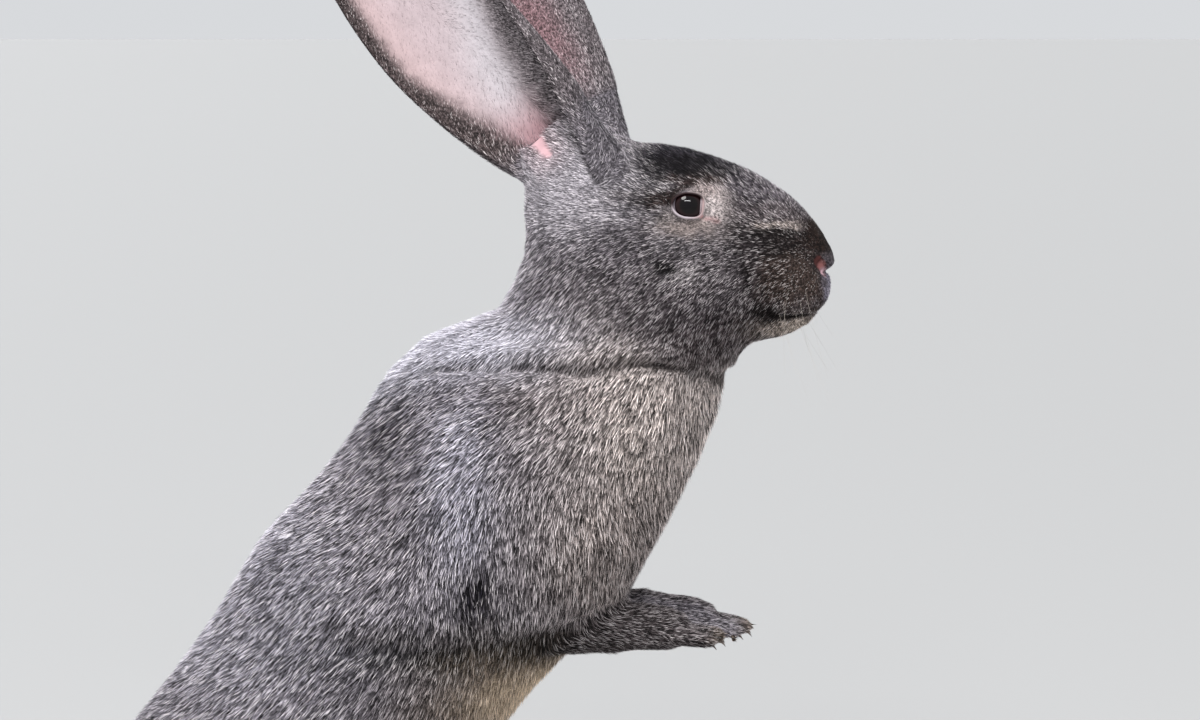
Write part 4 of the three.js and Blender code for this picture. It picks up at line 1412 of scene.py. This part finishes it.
def build_claws():
    meshes = []
    for name, side in SIDES.items():
        low, high = box_of("forepaw_" + name)
        middle = (low[1] + high[1]) / 2
        meshes += foot_claws(high[0] - 10.5, middle, low[2] + 6.5, FORE_PITCH, 2.4, 5.2, 2.2)
        front = box_of("hind_foot_" + name)[1][0] - 13.0
        meshes += foot_claws(front, side * HIND_MIDDLE, 6.0, HIND_PITCH, 2.6, 12.0, 3.8)
    joined("claws", meshes, claw_material())


def claw(root, length, width):
    """A claw that points forward from its root and curves down."""
    t = np.linspace(0, 1, 7)
    path = np.array(root) + np.stack([length * t, 0 * t, 1.2 * np.sin(t * 2.2) - 3.4 * t ** 2], 1)
    path[:, 2] = np.maximum(path[:, 2], 0.9)
    return closed_tube("claw", strand(path, width * (1 - t ** 1.6 * 0.9), 8), len(t), 8)


# ---- Stage

AIM = np.array([100.9, 0.0, 325.0])
CAMERA_AWAY = 1400.0
CAMERA_ABOVE = math.radians(7)
LENS = 84.0
CATCH_SIZE, CATCH_POWER = (0.80, 0.07), 10.5
CATCH_AWAY = Vector((-0.12, -0.96, 0.74))  # from the near eye
FLOOR_REACH = 60.0
FLOOR_COLOUR = (0.31, 0.31, 0.31, 1)
SKY_COLOUR, SKY_STRENGTH = (0.95, 0.97, 1.0, 1), 0.72


def add_camera():
    data = bpy.data.cameras.new("camera")
    data.lens = LENS
    data.sensor_width = 36.0
    camera = linked("camera", data)
    away = np.array([0, -math.cos(CAMERA_ABOVE), math.sin(CAMERA_ABOVE)])
    camera.location = Vector((AIM + away * CAMERA_AWAY) * MM)
    camera.rotation_euler = (math.pi / 2 - CAMERA_ABOVE, 0, 0)
    bpy.context.scene.camera = camera


def add_sun(name, toward, strength, spread, colour):
    """A soft light that shines the way toward says, from all of a spread of degrees of sky."""
    data = bpy.data.lights.new(name, "SUN")
    data.energy = strength
    data.angle = math.radians(spread)
    data.color = colour
    light = linked(name, data)
    light.rotation_euler = Vector(toward).to_track_quat("-Z", "Y").to_euler()


def add_catch_light():
    """A small window-shaped light for the glint high on the right eye."""
    data = bpy.data.lights.new("catch", "AREA")
    data.shape = "RECTANGLE"
    data.size, data.size_y = CATCH_SIZE
    data.energy = CATCH_POWER
    light = linked("catch", data)
    eye = Vector(from_head(EYE_AT * [1, -1, 1]) * MM)
    light.location = eye + CATCH_AWAY
    light.rotation_euler = (eye - light.location).to_track_quat("-Z", "Y").to_euler()


def add_stage():
    corners = np.array([[-1, -1, 0], [1, -1, 0], [1, 1, 0], [-1, 1, 0]]) * FLOOR_REACH / MM
    floor = linked("floor", mesh_of("floor", corners, np.array([[0, 1, 2, 3]])))
    floor.data.materials.append(Shader("floor", Roughness=0.9, Base_Color=FLOOR_COLOUR).material)
    world = bpy.data.worlds.new("studio")
    world.use_nodes = True
    sky = world.node_tree.nodes["Background"].inputs
    sky["Color"].default_value = SKY_COLOUR
    sky["Strength"].default_value = SKY_STRENGTH
    bpy.context.scene.world = world
    add_sun("key", (0.45, 0.35, -0.8), 3.4, 28, (1.0, 0.99, 0.97))
    add_sun("rim", (0.5, -0.75, -0.6), 2.2, 45, (0.92, 0.95, 1.0))
    add_catch_light()
    bpy.context.scene.view_settings.view_transform = "Standard"


# ---- Assembly

EAR_MAP = EarMap()
skin = build_skin()
animal = Animal(skin)
keep_colour(skin.data, "pelt", animal.pelt)
keep_value(skin.data, "bare", animal.bare)
skin.data.materials.clear()
skin.data.materials.append(skin_material())
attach(skin, "root")
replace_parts(skin, *FLESH)

plan = plan_coat(animal)
triangles = triangles_of(skin.data)
coat = coat_material()
for piece_name in COAT_PIECES:
    grow(piece_name, animal, plan, triangles, coat)

eye_finish = eye_material()
for eye_name in SIDES:
    build_eye(eye_name, eye_finish)
build_whiskers(tree_of(skin.data))
build_claws()

add_camera()
add_stage()
